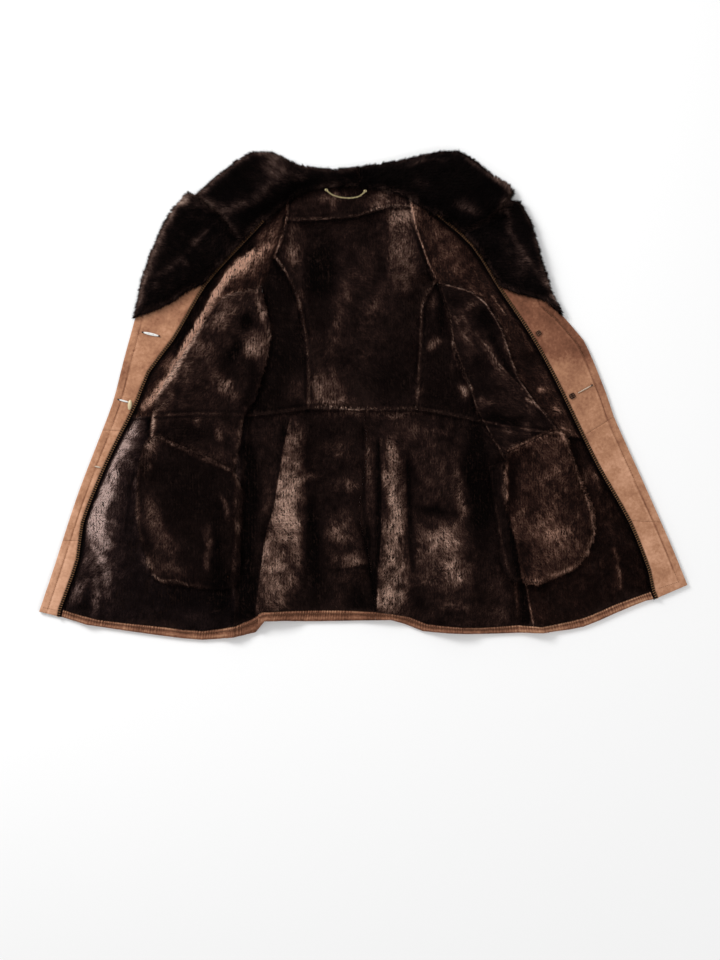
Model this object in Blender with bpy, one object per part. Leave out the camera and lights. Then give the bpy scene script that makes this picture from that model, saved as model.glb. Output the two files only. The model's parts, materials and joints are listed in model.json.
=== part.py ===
"""A woman's waist-seamed shearling coat, lying open on a flat surface with its fur side up.

Each cut piece is a wall of its own. The shell panels rest on the surface, the facings, lapels and
braids lie on the fronts, and the sleeves, turned inside out, lie on the fronts under the pocket
bags. X runs across the opened coat, Y towards the collar and Z up. "right" and "left" are the
wearer's: the right front lies at -X, because the coat is seen from its inside.
"""

import math

import bmesh
import bpy
import numpy as np
from mathutils import Vector
from mathutils.geometry import delaunay_2d_cdt

MM = 0.001

# Sizes in millimetres: plan tables below are in millimetres too.
SEAM_GAP = 0.3          # between two pieces that are sewn together
LAYER_GAP = 0.5         # between a piece and what lies on it
SHELL_WALL = 8.0        # shearling, hide and clipped fur
EDGE_WALL = 4.0         # shearling shaved thin under the facings and lapels
FACING_WALL = 2.6
BRAID_WALL = 5.0
BRAID_WIDTH = 8.6
SLEEVE_WALL = 4.2
POCKET_WALL = 4.2
POCKET_BAG_WALL = 5.2
COLLAR_RIM = 12.0       # height of the collar's fur at its outline
COLLAR_CREST = 24.0     # and inside it
COLLAR_ROUNDING = 13.0  # width of the rounded rim
SLEEVE_RIM_DROP = 2.4
SLEEVE_ROUNDING = 9.0
SLEEVE_FACET_LINE = 14.0  # a line of points this far inside a top sleeve's rim
UNDER_SLEEVE_INSET = 3.0
POCKET_SLOPE = 20.0     # width over which a pocket bag falls to the front
EDGE_STEP = 2.0         # width of the step where the fur ends beside a braid
FACET = 30.0            # longest edge of a facet, about
FOLD_FACET = 9.5        # shortest, beside a fold
WIDE_FLANK = 20.0       # a fold's flank wider than this has a line of points halfway down
TRIM_WALL = 1.4

# Heights at which the layers start, from the surface up.
ON_EDGE = EDGE_WALL + LAYER_GAP
ON_FACING = ON_EDGE + FACING_WALL + LAYER_GAP
UNDER_SLEEVE_FLOOR = SHELL_WALL + LAYER_GAP
TOP_SLEEVE_FLOOR = UNDER_SLEEVE_FLOOR + SLEEVE_WALL + LAYER_GAP
POCKET_FLOOR = TOP_SLEEVE_FLOOR + SLEEVE_WALL + LAYER_GAP
POCKET_BAG_FLOOR = POCKET_FLOOR + POCKET_WALL + LAYER_GAP

# Points where seams meet, x and y.
CORNERS = {
    "collar_back": (-6, 418),
    "neck_back": (-8, 384),
    "neck_right": (-139, 356),
    "neck_left": (85, 362),
    "yoke_right": (-141, 323),
    "yoke_left": (87, 347),
    "princess_right": (-163, 255),
    "shoulder_right": (-185, 201),
    "shoulder_left": (132, 209),
    "underarm_right": (-205, 100),
    "underarm_left": (190, 98),
    "waist_right": (-210, -36),
    "waist_princess_right": (-101, -22),
    "waist_back": (-1, -24),
    "waist_princess_left": (97, -23),
    "waist_left": (243, -52),
    "band_right": (-236, -422),
    "band_back": (23, -396),
    "band_left": (284, -420),
    "hem_right": (-238, -443),
    "hem_back": (22, -412),
    "hem_left": (286, -435),
}

# Seams of the back and sides: first corner, last corner, and the points it curves through.
SEAMS = {
    "neckline_right": ("neck_right", "neck_back", [(-116, 374), (-80, 383)]),
    "neckline_left": ("neck_back", "neck_left", [(40, 378)]),
    "collar_centre": ("neck_back", "collar_back", []),
    "yoke_end_right": ("neck_right", "yoke_right", []),
    "yoke_end_left": ("neck_left", "yoke_left", []),
    "yoke": ("yoke_right", "yoke_left", [(-78, 325), (-10, 331), (17, 340), (49, 348)]),
    "shoulder_top_right": ("yoke_right", "princess_right", [(-147, 300)]),
    "shoulder_end_right": ("princess_right", "shoulder_right", []),
    "shoulder_top_left": ("yoke_left", "shoulder_left", [(92, 315), (107, 276), (124, 227)]),
    "princess_right": ("princess_right", "waist_princess_right", [(-138, 220), (-119, 174), (-103, 79)]),
    "princess_left": ("shoulder_left", "waist_princess_left", [(116, 187), (107, 160), (105, 93)]),
    "armhole_back_right": ("shoulder_right", "underarm_right", [(-187, 150)]),
    "armhole_back_left": ("shoulder_left", "underarm_left", [(153, 182), (165, 150)]),
    "armhole_front_right": ("shoulder_right", "underarm_right", [(-224, 190), (-262, 172), (-262, 130)]),
    "armhole_front_left": ("shoulder_left", "underarm_left", [(172, 202), (222, 172), (243, 130)]),
    "side_right": ("underarm_right", "waist_right", [(-202, 30)]),
    "side_left": ("underarm_left", "waist_left", [(220, 20)]),
    "waist_side_right": ("waist_right", "waist_princess_right", []),
    "waist_back_right": ("waist_princess_right", "waist_back", []),
    "waist_back_left": ("waist_back", "waist_princess_left", []),
    "waist_side_left": ("waist_princess_left", "waist_left", [(148, -32)]),
    "skirt_side_right": ("waist_right", "band_right", [(-228, -180), (-233, -300)]),
    "skirt_side_left": ("waist_left", "band_left", [(262, -200), (276, -339)]),
    "skirt_centre": ("waist_back", "band_back", [(7, -97), (-9, -218), (7, -278)]),
    "band_top_right": ("band_right", "band_back", [(-205, -409), (-186, -396), (-49, -393)]),
    "band_top_left": ("band_back", "band_left", [(83, -405), (115, -418), (214, -425)]),
    "band_end_right": ("band_right", "hem_right", []),
    "band_end_back": ("band_back", "hem_back", []),
    "band_end_left": ("band_left", "hem_left", []),
    "hem_right": ("hem_right", "hem_back", [(-198, -434), (-181, -413), (-107, -414)]),
    "hem_left": ("hem_back", "hem_left", [(50, -411), (76, -419), (109, -432), (214, -437)]),
}

# Each front's own lines, from the collar to the hem. "out" is the way from the fur to the edge.
FRONTS = {
    "right": {
        "out": -1,
        "edge": [(-303, 366), (-322, 371), (-361, 319), (-399, 225), (-419, 145), (-440, 68),
                 (-461, -13), (-524, -178), (-570, -319), (-596, -396)],
        "braid": [(-181, 323), (-240, 260), (-289, 205), (-349, 103), (-394, 43), (-416, -13),
                  (-472, -125), (-515, -234), (-524, -300), (-556, -391), (-559, -405)],
        "gorge": [(-262, 333)],
        "gorge_height": 287,
        "lapel_edge": [(-377, 161), (-350, 174), (-321, 195)],
        "lapel_height": (145, 206),
        "waist": [(-300, -33)],
        "waist_height": -31,
        "facing_seams": [(-62, -64), (-267, -270)],
        "collar": [(-52, 413), (-119, 421), (-167, 445), (-205, 444), (-256, 408)],
        "neck": [(-162, 338)],
        "band_top": [(-489, -410), (-366, -424), (-296, -431)],
        "hem": [(-507, -420), (-366, -441), (-296, -448)],
    },
    "left": {
        "out": 1,
        "edge": [(266, 358), (287, 354), (307, 314), (320, 262), (339, 201), (362, 152), (404, 103),
                 (446, 4), (460, -38), (523, -178), (569, -283), (595, -347)],
        "braid": [(132, 335), (199, 276), (247, 201), (307, 112), (351, 33), (428, -125), (488, -231),
                  (523, -319), (531, -358), (537, -372)],
        "gorge": [(228, 322)],
        "gorge_height": 302,
        "lapel_edge": [(334, 176), (280, 190)],
        "lapel_height": (152, 201),
        "waist": [(300, -62)],
        "waist_height": -73,
        "facing_seams": [(-39, -62), (-228, -245)],
        "collar": [(65, 429), (107, 439), (172, 445), (234, 402), (266, 383), (273, 370)],
        "neck": [(108, 347)],
        "band_top": [(326, -423), (407, -406), (463, -382)],
        "hem": [(328, -435), (404, -424), (463, -399), (519, -376)],
    },
}

# Sleeves: down the outer edge from the shoulder to the cuff, and up the inner edge again.
SLEEVES = {
    "right": [(-187, 200), (-224, 190), (-254, 182), (-270, 165), (-318, 94), (-366, 20),
              (-384, -27), (-389, -74), (-374, -140), (-374, -220), (-360, -300),
              (-272, -300), (-262, -200), (-236, -132), (-217, -29), (-199, -7), (-174, 79),
              (-168, 119), (-178, 158)],
    "left": [(135, 206), (172, 202), (199, 190), (226, 168), (253, 123), (283, 33), (316, -13),
             (354, -57), (368, -120), (385, -200), (378, -284), (294, -284), (286, -200),
             (258, -115), (206, -27), (196, 12), (164, 93), (156, 141)],
}

# Pocket bags. The part of a rim that falls to the front lies below "falls_below" and beyond
# "falls_beyond", where they are given.
POCKET_BAGS = {
    "right": {
        "outline": [(-379, -69), (-401, -94), (-411, -143), (-416, -213), (-401, -283), (-381, -336),
                    (-321, -347), (-233, -347), (-226, -248), (-222, -178), (-240, -134)],
        "falls_below": -172,
    },
    "left": {
        "outline": [(261, -104), (361, -61), (379, -108), (400, -164), (421, -206), (425, -240),
                    (411, -290), (386, -315), (316, -343), (291, -338), (281, -283), (263, -213),
                    (259, -140)],
        "falls_below": -160,
        "falls_beyond": 322,
    },
}
POCKETS = {
    "right": {
        "outline": [(-370, -108), (-383, -160), (-385, -225), (-364, -300), (-262, -316), (-252, -240),
                    (-250, -170), (-262, -142)],
    },
    "left": {
        "outline": [(230, -129), (252, -122), (350, -90), (368, -150), (392, -225), (370, -286),
                    (314, -315), (281, -339), (262, -331), (249, -283), (243, -231), (235, -180)],
        "falls_before": 251,
    },
}

# Folds: group, height, reach to the right and to the left of the path, and the path.
FOLDS = [
    {"on": "shell", "name": "back_right", "height": 17, "reach": (26, 66),
     "path": [(-142, -75), (-160, -200), (-172, -300), (-172, -416)]},
    {"on": "shell", "name": "back_middle", "height": 13, "reach": (24, 24),
     "path": [(55, -60), (50, -200), (42, -327), (38, -414)]},
    {"on": "shell", "name": "back_left", "height": 12, "reach": (66, 56),
     "path": [(160, -110), (175, -250), (172, -438)]},
    {"on": "shell", "name": "front_fold_left", "height": 12, "reach": (11, 40),
     "path": [(307, -388), (320, -436)]},
    {"on": "shell", "name": "side_right", "height": 8, "reach": (18, 18),
     "path": [(-234, -384), (-238, -444)]},
    {"on": "shell", "name": "chest_roll", "height": 8, "reach": (12, 12),
     "path": [(-228, 248), (-275, 195), (-334, 95), (-378, 36)]},
    {"on": "shell", "name": "skirt_roll", "height": 6, "reach": (22, 26),
     "path": [(-446, -130), (-466, -190), (-498, -320), (-505, -418)]},
    {"on": "shell", "name": "shoulder_right", "height": 6, "reach": (15, 18),
     "path": [(-141, 345), (-147, 300), (-163, 255)]},
    {"on": "shell", "name": "shoulder_left", "height": 6, "reach": (18, 15),
     "path": [(87, 350), (93, 315), (112, 262)]},
    {"on": "sleeve", "name": "cap_right", "height": 5, "reach": (26, 34),
     "path": [(-232, 160), (-290, 60), (-330, -20)]},
    {"on": "sleeve", "name": "cap_left", "height": 5, "reach": (20, 34),
     "path": [(178, 150), (216, 50), (262, -30)]},
    {"on": "collar", "name": "roll_right", "height": 7, "reach": (26, 26),
     "path": [(-130, 404), (-186, 368), (-240, 334)]},
    {"on": "collar", "name": "roll_left", "height": 5, "reach": (30, 30),
     "path": [(80, 405), (160, 400), (220, 372)]},
]

# Closures on the facings: x, y, length, width and turn in degrees.
BUTTONHOLES = {
    "buttonhole_upper_right": (-390, 113.5, 31, 5, -13),
    "buttonhole_middle_right": (-440, -9, 20, 4, -15),
    "buttonhole_lower_right": (-488, -130, 12, 4, -12),
    "buttonhole_left": (406, 12.5, 30, 4, 29),
}
BUTTON_STITCHES = {
    "button_stitch_upper_left": (321, 115, 12, 10, 40),
    "button_stitch_lower_left": (383, 0, 13, 10, 28),
}
BACKING_BUTTON = (-429.5, -18, 14, 6, 84)
BACKING_BUTTON_WALL = 5.0
LENS_SIDES = 12

HANGER_RADIUS = 1.5
HANGER_PATH = [(-65, 373), (-57, 367.5), (-47, 364), (-36, 362), (-25, 361.5), (-14, 363), (-6, 366),
               (0, 371)]
HANGER_RINGS = {"hanger_ring_right": (-68, 376.5), "hanger_ring_left": (3, 374.5)}
HANGER_RING_SIZE = (3.0, 0.9)   # radius of the ring and of its wire
RING_SIDES = 12
HANGER_HEIGHT = SHELL_WALL + 8.0


# ---------------------------------------------------------------- plan curves

def smooth(points, step=FACET):
    """A curve through the points as a polyline that keeps them, with edges of about one step."""
    pts = [np.array(p, float) for p in points]
    ends = [2 * pts[0] - pts[1]] + pts + [2 * pts[-1] - pts[-2]]
    line = [pts[0]]
    for before, start, end, after in zip(ends, ends[1:], ends[2:], ends[3:]):
        span = np.linalg.norm(end - start)
        leave = (end - before) / 2 * min(1.0, span / np.linalg.norm(start - before))
        arrive = (after - start) / 2 * min(1.0, span / np.linalg.norm(after - end))
        steps = max(1, round(span / step))
        for t in np.arange(1, steps + 1) / steps:
            blend = (2 * t**3 - 3 * t**2 + 1, t**3 - 2 * t**2 + t, 3 * t**2 - 2 * t**3, t**3 - t**2)
            line.append(blend[0] * start + blend[1] * leave + blend[2] * end + blend[3] * arrive)
    return np.array(line)


def seam(name):
    """A named seam as a polyline, or reversed when its name starts with a minus."""
    first, last, between = SEAMS[name.lstrip("-")]
    line = smooth([CORNERS[first], *between, CORNERS[last]])
    return line[::-1] if name.startswith("-") else line


def joined(*lines):
    """One closed outline from polylines that meet end to end."""
    points = np.concatenate([np.atleast_2d(np.array(line, float)) for line in lines])
    keep = np.linalg.norm(points - np.roll(points, 1, axis=0), axis=1) > 0.05
    return points[keep]


def beside(line, distance):
    """The line moved sideways, to its left where the distance is positive."""
    along = np.gradient(line, axis=0)
    along /= np.linalg.norm(along, axis=1)[:, None]
    return line + distance * np.stack([-along[:, 1], along[:, 0]], axis=1)


def at_height(line, y):
    """Index of the line's point nearest to a height."""
    return int(np.argmin(abs(line[:, 1] - y)))


def counter_clockwise(outline):
    x, y = outline.T
    area = (x * np.roll(y, -1) - y * np.roll(x, -1)).sum()
    return outline if area > 0 else outline[::-1]


def inset(outline, distance):
    """A counter-clockwise outline moved inwards, its corners mitred."""
    before = outline - np.roll(outline, 1, axis=0)
    after = np.roll(outline, -1, axis=0) - outline
    before /= np.linalg.norm(before, axis=1)[:, None]
    after /= np.linalg.norm(after, axis=1)[:, None]
    left_before = np.stack([-before[:, 1], before[:, 0]], axis=1)
    left_after = np.stack([-after[:, 1], after[:, 0]], axis=1)
    middle = left_before + left_after
    length = np.maximum(1 + (left_before * left_after).sum(axis=1), 0.3)
    return outline + distance * middle / length[:, None]


def inside(outline, points):
    """Which points lie inside an outline."""
    x, y = points.T
    result = np.zeros(len(points), bool)
    for (x0, y0), (x1, y1) in zip(outline, np.roll(outline, -1, axis=0)):
        crosses = (y0 > y) != (y1 > y)
        if crosses.any():
            at = x0 + (y - y0) * (x1 - x0) / (y1 - y0 if y1 != y0 else 1)
            result ^= crosses & (x < at)
    return result


def away_from(line, points, closed=False):
    """Distance of each point to a polyline, and the signed side, positive on its left."""
    starts = line if closed else line[:-1]
    ends = np.roll(line, -1, axis=0) if closed else line[1:]
    best = np.full(len(points), np.inf)
    side = np.zeros(len(points))
    for start, end in zip(starts, ends):
        edge = end - start
        part = np.clip((points - start) @ edge / (edge @ edge), 0, 1)
        gap = points - (start + part[:, None] * edge)
        distance = np.linalg.norm(gap, axis=1)
        nearer = distance < best - 1e-9
        best[nearer] = distance[nearer]
        side[nearer] = np.sign(edge[0] * gap[nearer, 1] - edge[1] * gap[nearer, 0])
    return best, side


# ---------------------------------------------------------------- heights

def fold_height(group, points):
    """Height that the folds of a group add at each point."""
    total = np.zeros(len(points))
    for fold in FOLDS:
        if fold["on"] != group:
            continue
        path = smooth(fold["path"])
        distance, side = away_from(path, points)
        reach = np.where(side > 0, fold["reach"][1], fold["reach"][0])
        bump = (1 + np.cos(np.pi * np.minimum(distance / reach, 1))) / 2
        total = np.maximum(total, fold["height"] * bump)
    return total


def fold_points(group):
    """Points along each fold's crest, flanks and feet, so that the facets follow it."""
    lines = []
    for fold in FOLDS:
        if fold["on"] != group:
            continue
        path = smooth(fold["path"])
        lines.append(path)
        for way, reach in zip((-1, 1), fold["reach"]):
            parts = (0.5, 1) if reach > WIDE_FLANK else (1,)
            lines += [beside(path, way * reach * part) for part in parts]
    return np.concatenate(lines)


def shell_top(fur_edges):
    """Height of a shell panel: fur with its folds, and shaved thin beyond a fur edge."""
    def height(points):
        top = SHELL_WALL + fold_height("shell", points)
        for line, out in fur_edges:
            distance, side = away_from(line, points)
            top[(side * out > 0) & (distance > EDGE_STEP * 0.6)] = EDGE_WALL
        return top
    return height


def shell_floor(fur_edges=()):
    """Underside of a shell panel: flat on the surface, and hollow under its folds."""
    top = shell_top(fur_edges)
    return lambda points: np.minimum(fold_height("shell", points), top(points) - EDGE_WALL)


# ---------------------------------------------------------------- solids

def clear_material(name, colour, roughness, metallic=0.0):
    material = bpy.data.materials.new(name)
    material.use_nodes = True
    shader = material.node_tree.nodes["Principled BSDF"]
    shader.inputs["Base Color"].default_value = (*colour, 1)
    shader.inputs["Roughness"].default_value = roughness
    shader.inputs["Metallic"].default_value = metallic
    material.diffuse_color = (*colour, 1)
    return material


def spread(outline, rows, margin, extra=None):
    """Points inside an outline: a triangular lattice, with extra points put in first."""
    low, high = outline.min(axis=0), outline.max(axis=0)
    pitch = rows * math.sqrt(3) / 2
    lattice = []
    for row in range(math.floor(low[1] / pitch), math.ceil(high[1] / pitch) + 1):
        shift = rows / 2 if row % 2 else 0
        for column in range(math.floor(low[0] / rows) - 1, math.ceil(high[0] / rows) + 1):
            lattice.append((column * rows + shift, row * pitch))
    kept = np.zeros((0, 2))
    for points, space in ((extra, FOLD_FACET), (np.array(lattice), rows * 0.55)):
        if points is None:
            continue
        near, _ = away_from(outline, points, closed=True)
        for point in points[inside(outline, points) & (near > margin)]:
            if len(kept) == 0 or np.linalg.norm(kept - point, axis=1).min() > space:
                kept = np.vstack([kept, point])
    return kept


def triangulated(outline, lines, points):
    """Triangles over an outline whose edges keep to the outline and to the given open lines."""
    places = [Vector(p) for p in outline]
    edges = [(i, (i + 1) % len(outline)) for i in range(len(outline))]
    for line in lines:
        chain = []
        for point in line:
            gaps = np.linalg.norm(outline - point, axis=1)
            chain.append(int(gaps.argmin()) if gaps.min() < EDGE_STEP / 2 else len(places))
            if chain[-1] == len(places):
                places.append(Vector(point))
        edges += list(zip(chain, chain[1:]))
    places += [Vector(p) for p in points]
    verts, _, faces, origins, _, _ = delaunay_2d_cdt(places, edges, [], 1, 1e-5)
    where = {source: index for index, sources in enumerate(origins) for source in sources}
    rim = [where[i] for i in range(len(outline))]
    return np.array([tuple(v) for v in verts]), [list(f) for f in faces], rim


def slab(name, material, outline, top, floor, *, facet=FACET, lines=(), extra=None, plain_floor=False):
    """A closed wall over an outline, between two height functions of the plan points."""
    outline = inset(counter_clockwise(outline), SEAM_GAP / 2)
    near_lines = [p for line in lines for p in line]
    points = spread(outline, facet, facet * 0.4, extra) if facet else np.zeros((0, 2))
    if near_lines and len(points):
        clear = np.min([away_from(line, points)[0] for line in lines], axis=0)
        points = points[clear > facet * 0.3]
    mesh = bmesh.new()
    layers = []
    for height, upward in ((top, True), (floor, False)):
        kept = points
        if not upward:
            if plain_floor:
                kept = points[:0]
            elif len(points):
                raised = points[floor(points) > floor(outline).min() + 0.01]
                if len(raised):
                    gaps = np.linalg.norm(points[:, None] - raised[None], axis=2).min(axis=1)
                    kept = points[gaps < facet * 1.1]
                else:
                    kept = raised
        plan, faces, rim = triangulated(outline, lines, kept)
        heights = height(plan)
        verts = [mesh.verts.new((x * MM, y * MM, z * MM)) for (x, y), z in zip(plan, heights)]
        for face in faces:
            loop = [verts[i] for i in face]
            mesh.faces.new(loop if upward else loop[::-1])
        layers.append([verts[i] for i in rim])
    upper, lower = layers
    for i in range(len(upper)):
        j = (i + 1) % len(upper)
        mesh.faces.new((lower[i], lower[j], upper[j], upper[i]))
    bmesh.ops.triangulate(mesh, faces=mesh.faces[:])
    data = bpy.data.meshes.new(name)
    mesh.to_mesh(data)
    mesh.free()
    data.materials.append(material)
    piece = bpy.data.objects.new(name, data)
    bpy.context.scene.collection.objects.link(piece)
    return piece


def level(z):
    """A height function that is the same everywhere."""
    return lambda points: np.full(len(points), float(z))


def rounded(outline, rim, crest, width, group=None):
    """A height that rises from the rim at the outline to the crest inside it."""
    def height(points):
        distance, _ = away_from(outline, points, closed=True)
        rise = np.sin(np.pi / 2 * np.minimum(distance / width, 1))
        folds = fold_height(group, points) if group else 0
        return rim + (crest - rim + folds) * rise
    return height


# ---------------------------------------------------------------- the coat's pieces

def make_back(materials):
    """Yoke, centre back, side backs and the two back skirts."""
    panels = {
        "back_yoke": ["neckline_right", "neckline_left", "yoke_end_left", "-yoke", "-yoke_end_right"],
        "back_upper": ["yoke", "shoulder_top_left", "princess_left", "-waist_back_left",
                       "-waist_back_right", "-princess_right", "-shoulder_top_right"],
        "side_back_right": ["princess_right", "-waist_side_right", "-side_right",
                            "-armhole_back_right", "-shoulder_end_right"],
        "side_back_left": ["princess_left", "waist_side_left", "-side_left", "-armhole_back_left"],
        "skirt_back_right": ["waist_side_right", "waist_back_right", "skirt_centre",
                             "-band_top_right", "-skirt_side_right"],
        "skirt_back_left": ["waist_back_left", "waist_side_left", "skirt_side_left",
                            "-band_top_left", "-skirt_centre"],
    }
    for name, seams in panels.items():
        outline = joined(*[seam(s) for s in seams])
        slab(name, materials["inner_fur"], outline, shell_top([]), shell_floor(), extra=fold_points("shell"))
    bands = {
        "hem_band_back_right": ["band_top_right", "band_end_back", "-hem_right", "-band_end_right"],
        "hem_band_back_left": ["band_top_left", "band_end_left", "-hem_left", "-band_end_back"],
    }
    for name, seams in bands.items():
        outline = joined(*[seam(s) for s in seams])
        slab(name, materials["suede"], outline, shell_top([]), shell_floor(), facet=None)


def make_front(side, table, materials):
    """One front: chest, skirt, lapel, collar half, facings, braid and hem band."""
    out = table["out"]
    edge = smooth(table["edge"])
    centre = smooth(table["braid"])
    fur_edge = beside(centre, -out * BRAID_WIDTH / 2)
    braid_inner = beside(centre, -out * (BRAID_WIDTH / 2 - EDGE_STEP - SEAM_GAP))
    step_foot = beside(centre, -out * (BRAID_WIDTH / 2 - EDGE_STEP))
    braid_outer = beside(centre, out * BRAID_WIDTH / 2)

    gorge_at = at_height(centre, table["gorge_height"])
    waist_at = at_height(centre, table["waist_height"])
    edge_waist = at_height(edge, table["waist_height"])
    lapel_out, lapel_in = table["lapel_height"]
    lapel_edge_at, lapel_at = at_height(edge, lapel_out), at_height(centre, lapel_in)

    neck = smooth([CORNERS["neck_" + side], *table["neck"], fur_edge[0]])
    across_neck = [step_foot[0], braid_outer[0]]
    gorge = smooth([braid_outer[gorge_at], *table["gorge"], edge[0]])
    waist = smooth([CORNERS["waist_" + side], *table["waist"], fur_edge[waist_at]])
    across_waist = [step_foot[waist_at], braid_outer[waist_at], edge[edge_waist]]
    ways = 1 if side == "right" else -1     # the tables run from -X to +X
    band_top = smooth([fur_edge[-2], *table["band_top"][::ways], CORNERS["band_" + side]])
    hem = smooth([fur_edge[-1], *table["hem"][::ways], CORNERS["hem_" + side]])

    shoulder = [seam("yoke_end_" + side), seam("shoulder_top_" + side)]
    if side == "right":
        shoulder.append(seam("shoulder_end_right"))
    chest = joined(
        neck, across_neck, braid_outer[:gorge_at + 1], gorge, edge[:edge_waist + 1],
        across_waist[::-1], waist[::-1], seam("-side_" + side), seam("-armhole_front_" + side),
        *[line[::-1] for line in shoulder[::-1]],
    )
    skirt = joined(
        waist, across_waist, edge[edge_waist:], [braid_outer[-1], step_foot[-1]], fur_edge[:-3:-1],
        band_top, seam("-skirt_side_" + side),
    )
    top, floor = shell_top([(fur_edge, out)]), shell_floor([(fur_edge, out)])
    for name, outline, lines in (
        ("front_" + side, chest, (fur_edge[:waist_at + 1], step_foot[:waist_at + 1])),
        ("skirt_front_" + side, skirt, (fur_edge[waist_at:-1], step_foot[waist_at:])),
    ):
        slab(name, materials["inner_fur"], outline, top, floor, lines=lines, extra=fold_points("shell"))

    band = joined(band_top, seam("band_end_" + side), hem[::-1])
    slab("hem_band_front_" + side, materials["suede"], band, shell_top([]), shell_floor(), facet=None)

    collar = joined(
        seam("-collar_centre"), seam("-neckline_right") if side == "right" else seam("neckline_left"),
        neck, across_neck, braid_outer[:gorge_at + 1], gorge,
        smooth([edge[0], *table["collar"][::-1], CORNERS["collar_back"]]),
    )
    slab("collar_" + side, materials["collar_fur"], collar,
         rounded(collar, COLLAR_RIM, COLLAR_CREST, COLLAR_ROUNDING, "collar"), level(0),
         extra=inset(counter_clockwise(collar), COLLAR_ROUNDING), plain_floor=True)

    lapel_edge = smooth([edge[lapel_edge_at], *table["lapel_edge"], braid_outer[lapel_at]])
    lapel = joined(gorge, edge[:lapel_edge_at + 1], lapel_edge, braid_outer[gorge_at:lapel_at + 1][::-1])
    slab("lapel_" + side, materials["collar_fur"], lapel,
         rounded(lapel, COLLAR_RIM, COLLAR_CREST, COLLAR_ROUNDING), level(ON_EDGE),
         extra=inset(counter_clockwise(lapel), COLLAR_ROUNDING), plain_floor=True)

    cuts = [(at_height(edge, o), at_height(centre, i)) for o, i in table["facing_seams"]]
    starts = [(lapel_edge_at, lapel_at), *cuts]
    ends = [*cuts, (len(edge) - 1, len(centre) - 1)]
    for place, (o0, i0), (o1, i1) in zip(("upper", "middle", "lower"), starts, ends):
        head = lapel_edge if place == "upper" else [edge[o0], braid_outer[i0]]
        facing = joined(head, braid_outer[i0:i1 + 1], edge[o0:o1 + 1][::-1])
        slab(f"facing_{place}_{side}", materials["suede"], facing, level(ON_EDGE + FACING_WALL),
             level(ON_EDGE), facet=None)

    braid = joined(braid_inner, braid_outer[::-1])
    slab("braid_" + side, materials["braid"], braid, level(ON_EDGE + BRAID_WALL), level(ON_EDGE), facet=None)


def make_sleeve(side, points, materials):
    """A sleeve, turned inside out: the under sleeve on the front, and the top sleeve on it."""
    outline = joined(smooth(points + points[:1]))
    under = inset(counter_clockwise(outline), UNDER_SLEEVE_INSET)
    slab("sleeve_under_" + side, materials["inner_fur"], under,
         level(UNDER_SLEEVE_FLOOR + SLEEVE_WALL), level(UNDER_SLEEVE_FLOOR), facet=None)
    crest = TOP_SLEEVE_FLOOR + SLEEVE_WALL
    slab("sleeve_top_" + side, materials["inner_fur"], outline,
         rounded(outline, crest - SLEEVE_RIM_DROP, crest, SLEEVE_ROUNDING, "sleeve"),
         lambda p: TOP_SLEEVE_FLOOR + fold_height("sleeve", p),
         extra=np.concatenate([fold_points("sleeve"), inset(counter_clockwise(outline), SLEEVE_FACET_LINE)]))


def falling(outline, floor, table):
    """A pocket's floor, which falls to the front at part of its rim."""
    def height(points):
        x, y = points.T
        falls = (y < table.get("falls_below", -np.inf)) & (x > table.get("falls_beyond", -np.inf)) \
            | (x < table.get("falls_before", -np.inf))
        distance, _ = away_from(outline, points, closed=True)
        fall = np.clip(1 - distance / POCKET_SLOPE, 0, 1) * falls
        return floor - (floor - UNDER_SLEEVE_FLOOR) * fall
    return height


def make_pocket(side, materials):
    """A pocket: the under bag on the sleeve, and the fur bag on that."""
    for name, table, rest, wall in (
        ("pocket_under_", POCKETS[side], POCKET_FLOOR, POCKET_WALL),
        ("pocket_bag_", POCKET_BAGS[side], POCKET_BAG_FLOOR, POCKET_BAG_WALL),
    ):
        outline = joined(smooth(table["outline"] + table["outline"][:1]))
        floor = falling(outline, rest, table)
        slab(name + side, materials["inner_fur"], outline, lambda p: floor(p) + wall, floor,
             extra=inset(counter_clockwise(outline), POCKET_SLOPE))


def lens(x, y, length, width, turn):
    """Outline of a small round-ended piece, turned on the facing."""
    t = 2 * np.pi * np.arange(LENS_SIDES) / LENS_SIDES
    u, v = np.cos(t) * length / 2, np.sin(t) * width / 2
    cosine, sine = math.cos(math.radians(turn)), math.sin(math.radians(turn))
    return np.stack([x + u * cosine - v * sine, y + u * sine + v * cosine], axis=1)


def make_closures(materials):
    """Bound buttonholes, the stitching of the buttons and one backing button."""
    rows = [(BUTTONHOLES, "binding", TRIM_WALL), (BUTTON_STITCHES, "thread", TRIM_WALL),
            ({"backing_button": BACKING_BUTTON}, "button", BACKING_BUTTON_WALL)]
    for table, slot, wall in rows:
        for name, place in table.items():
            floor = ON_FACING + (TRIM_WALL + LAYER_GAP if slot == "button" else 0)
            slab(name, materials[slot], lens(*place), level(floor + wall), level(floor), facet=None)


def wire(name, path, radius, material, closed=False):
    """A round wire along a path."""
    curve = bpy.data.curves.new(name, "CURVE")
    curve.dimensions = "3D"
    curve.bevel_depth = radius * MM
    curve.bevel_resolution = 2
    curve.use_fill_caps = not closed
    spline = curve.splines.new("POLY")
    spline.points.add(len(path) - 1)
    for point, place in zip(spline.points, path):
        point.co = (*[c * MM for c in place], 1)
    spline.use_cyclic_u = closed
    curve.materials.append(material)
    piece = bpy.data.objects.new(name, curve)
    bpy.context.scene.collection.objects.link(piece)


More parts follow.
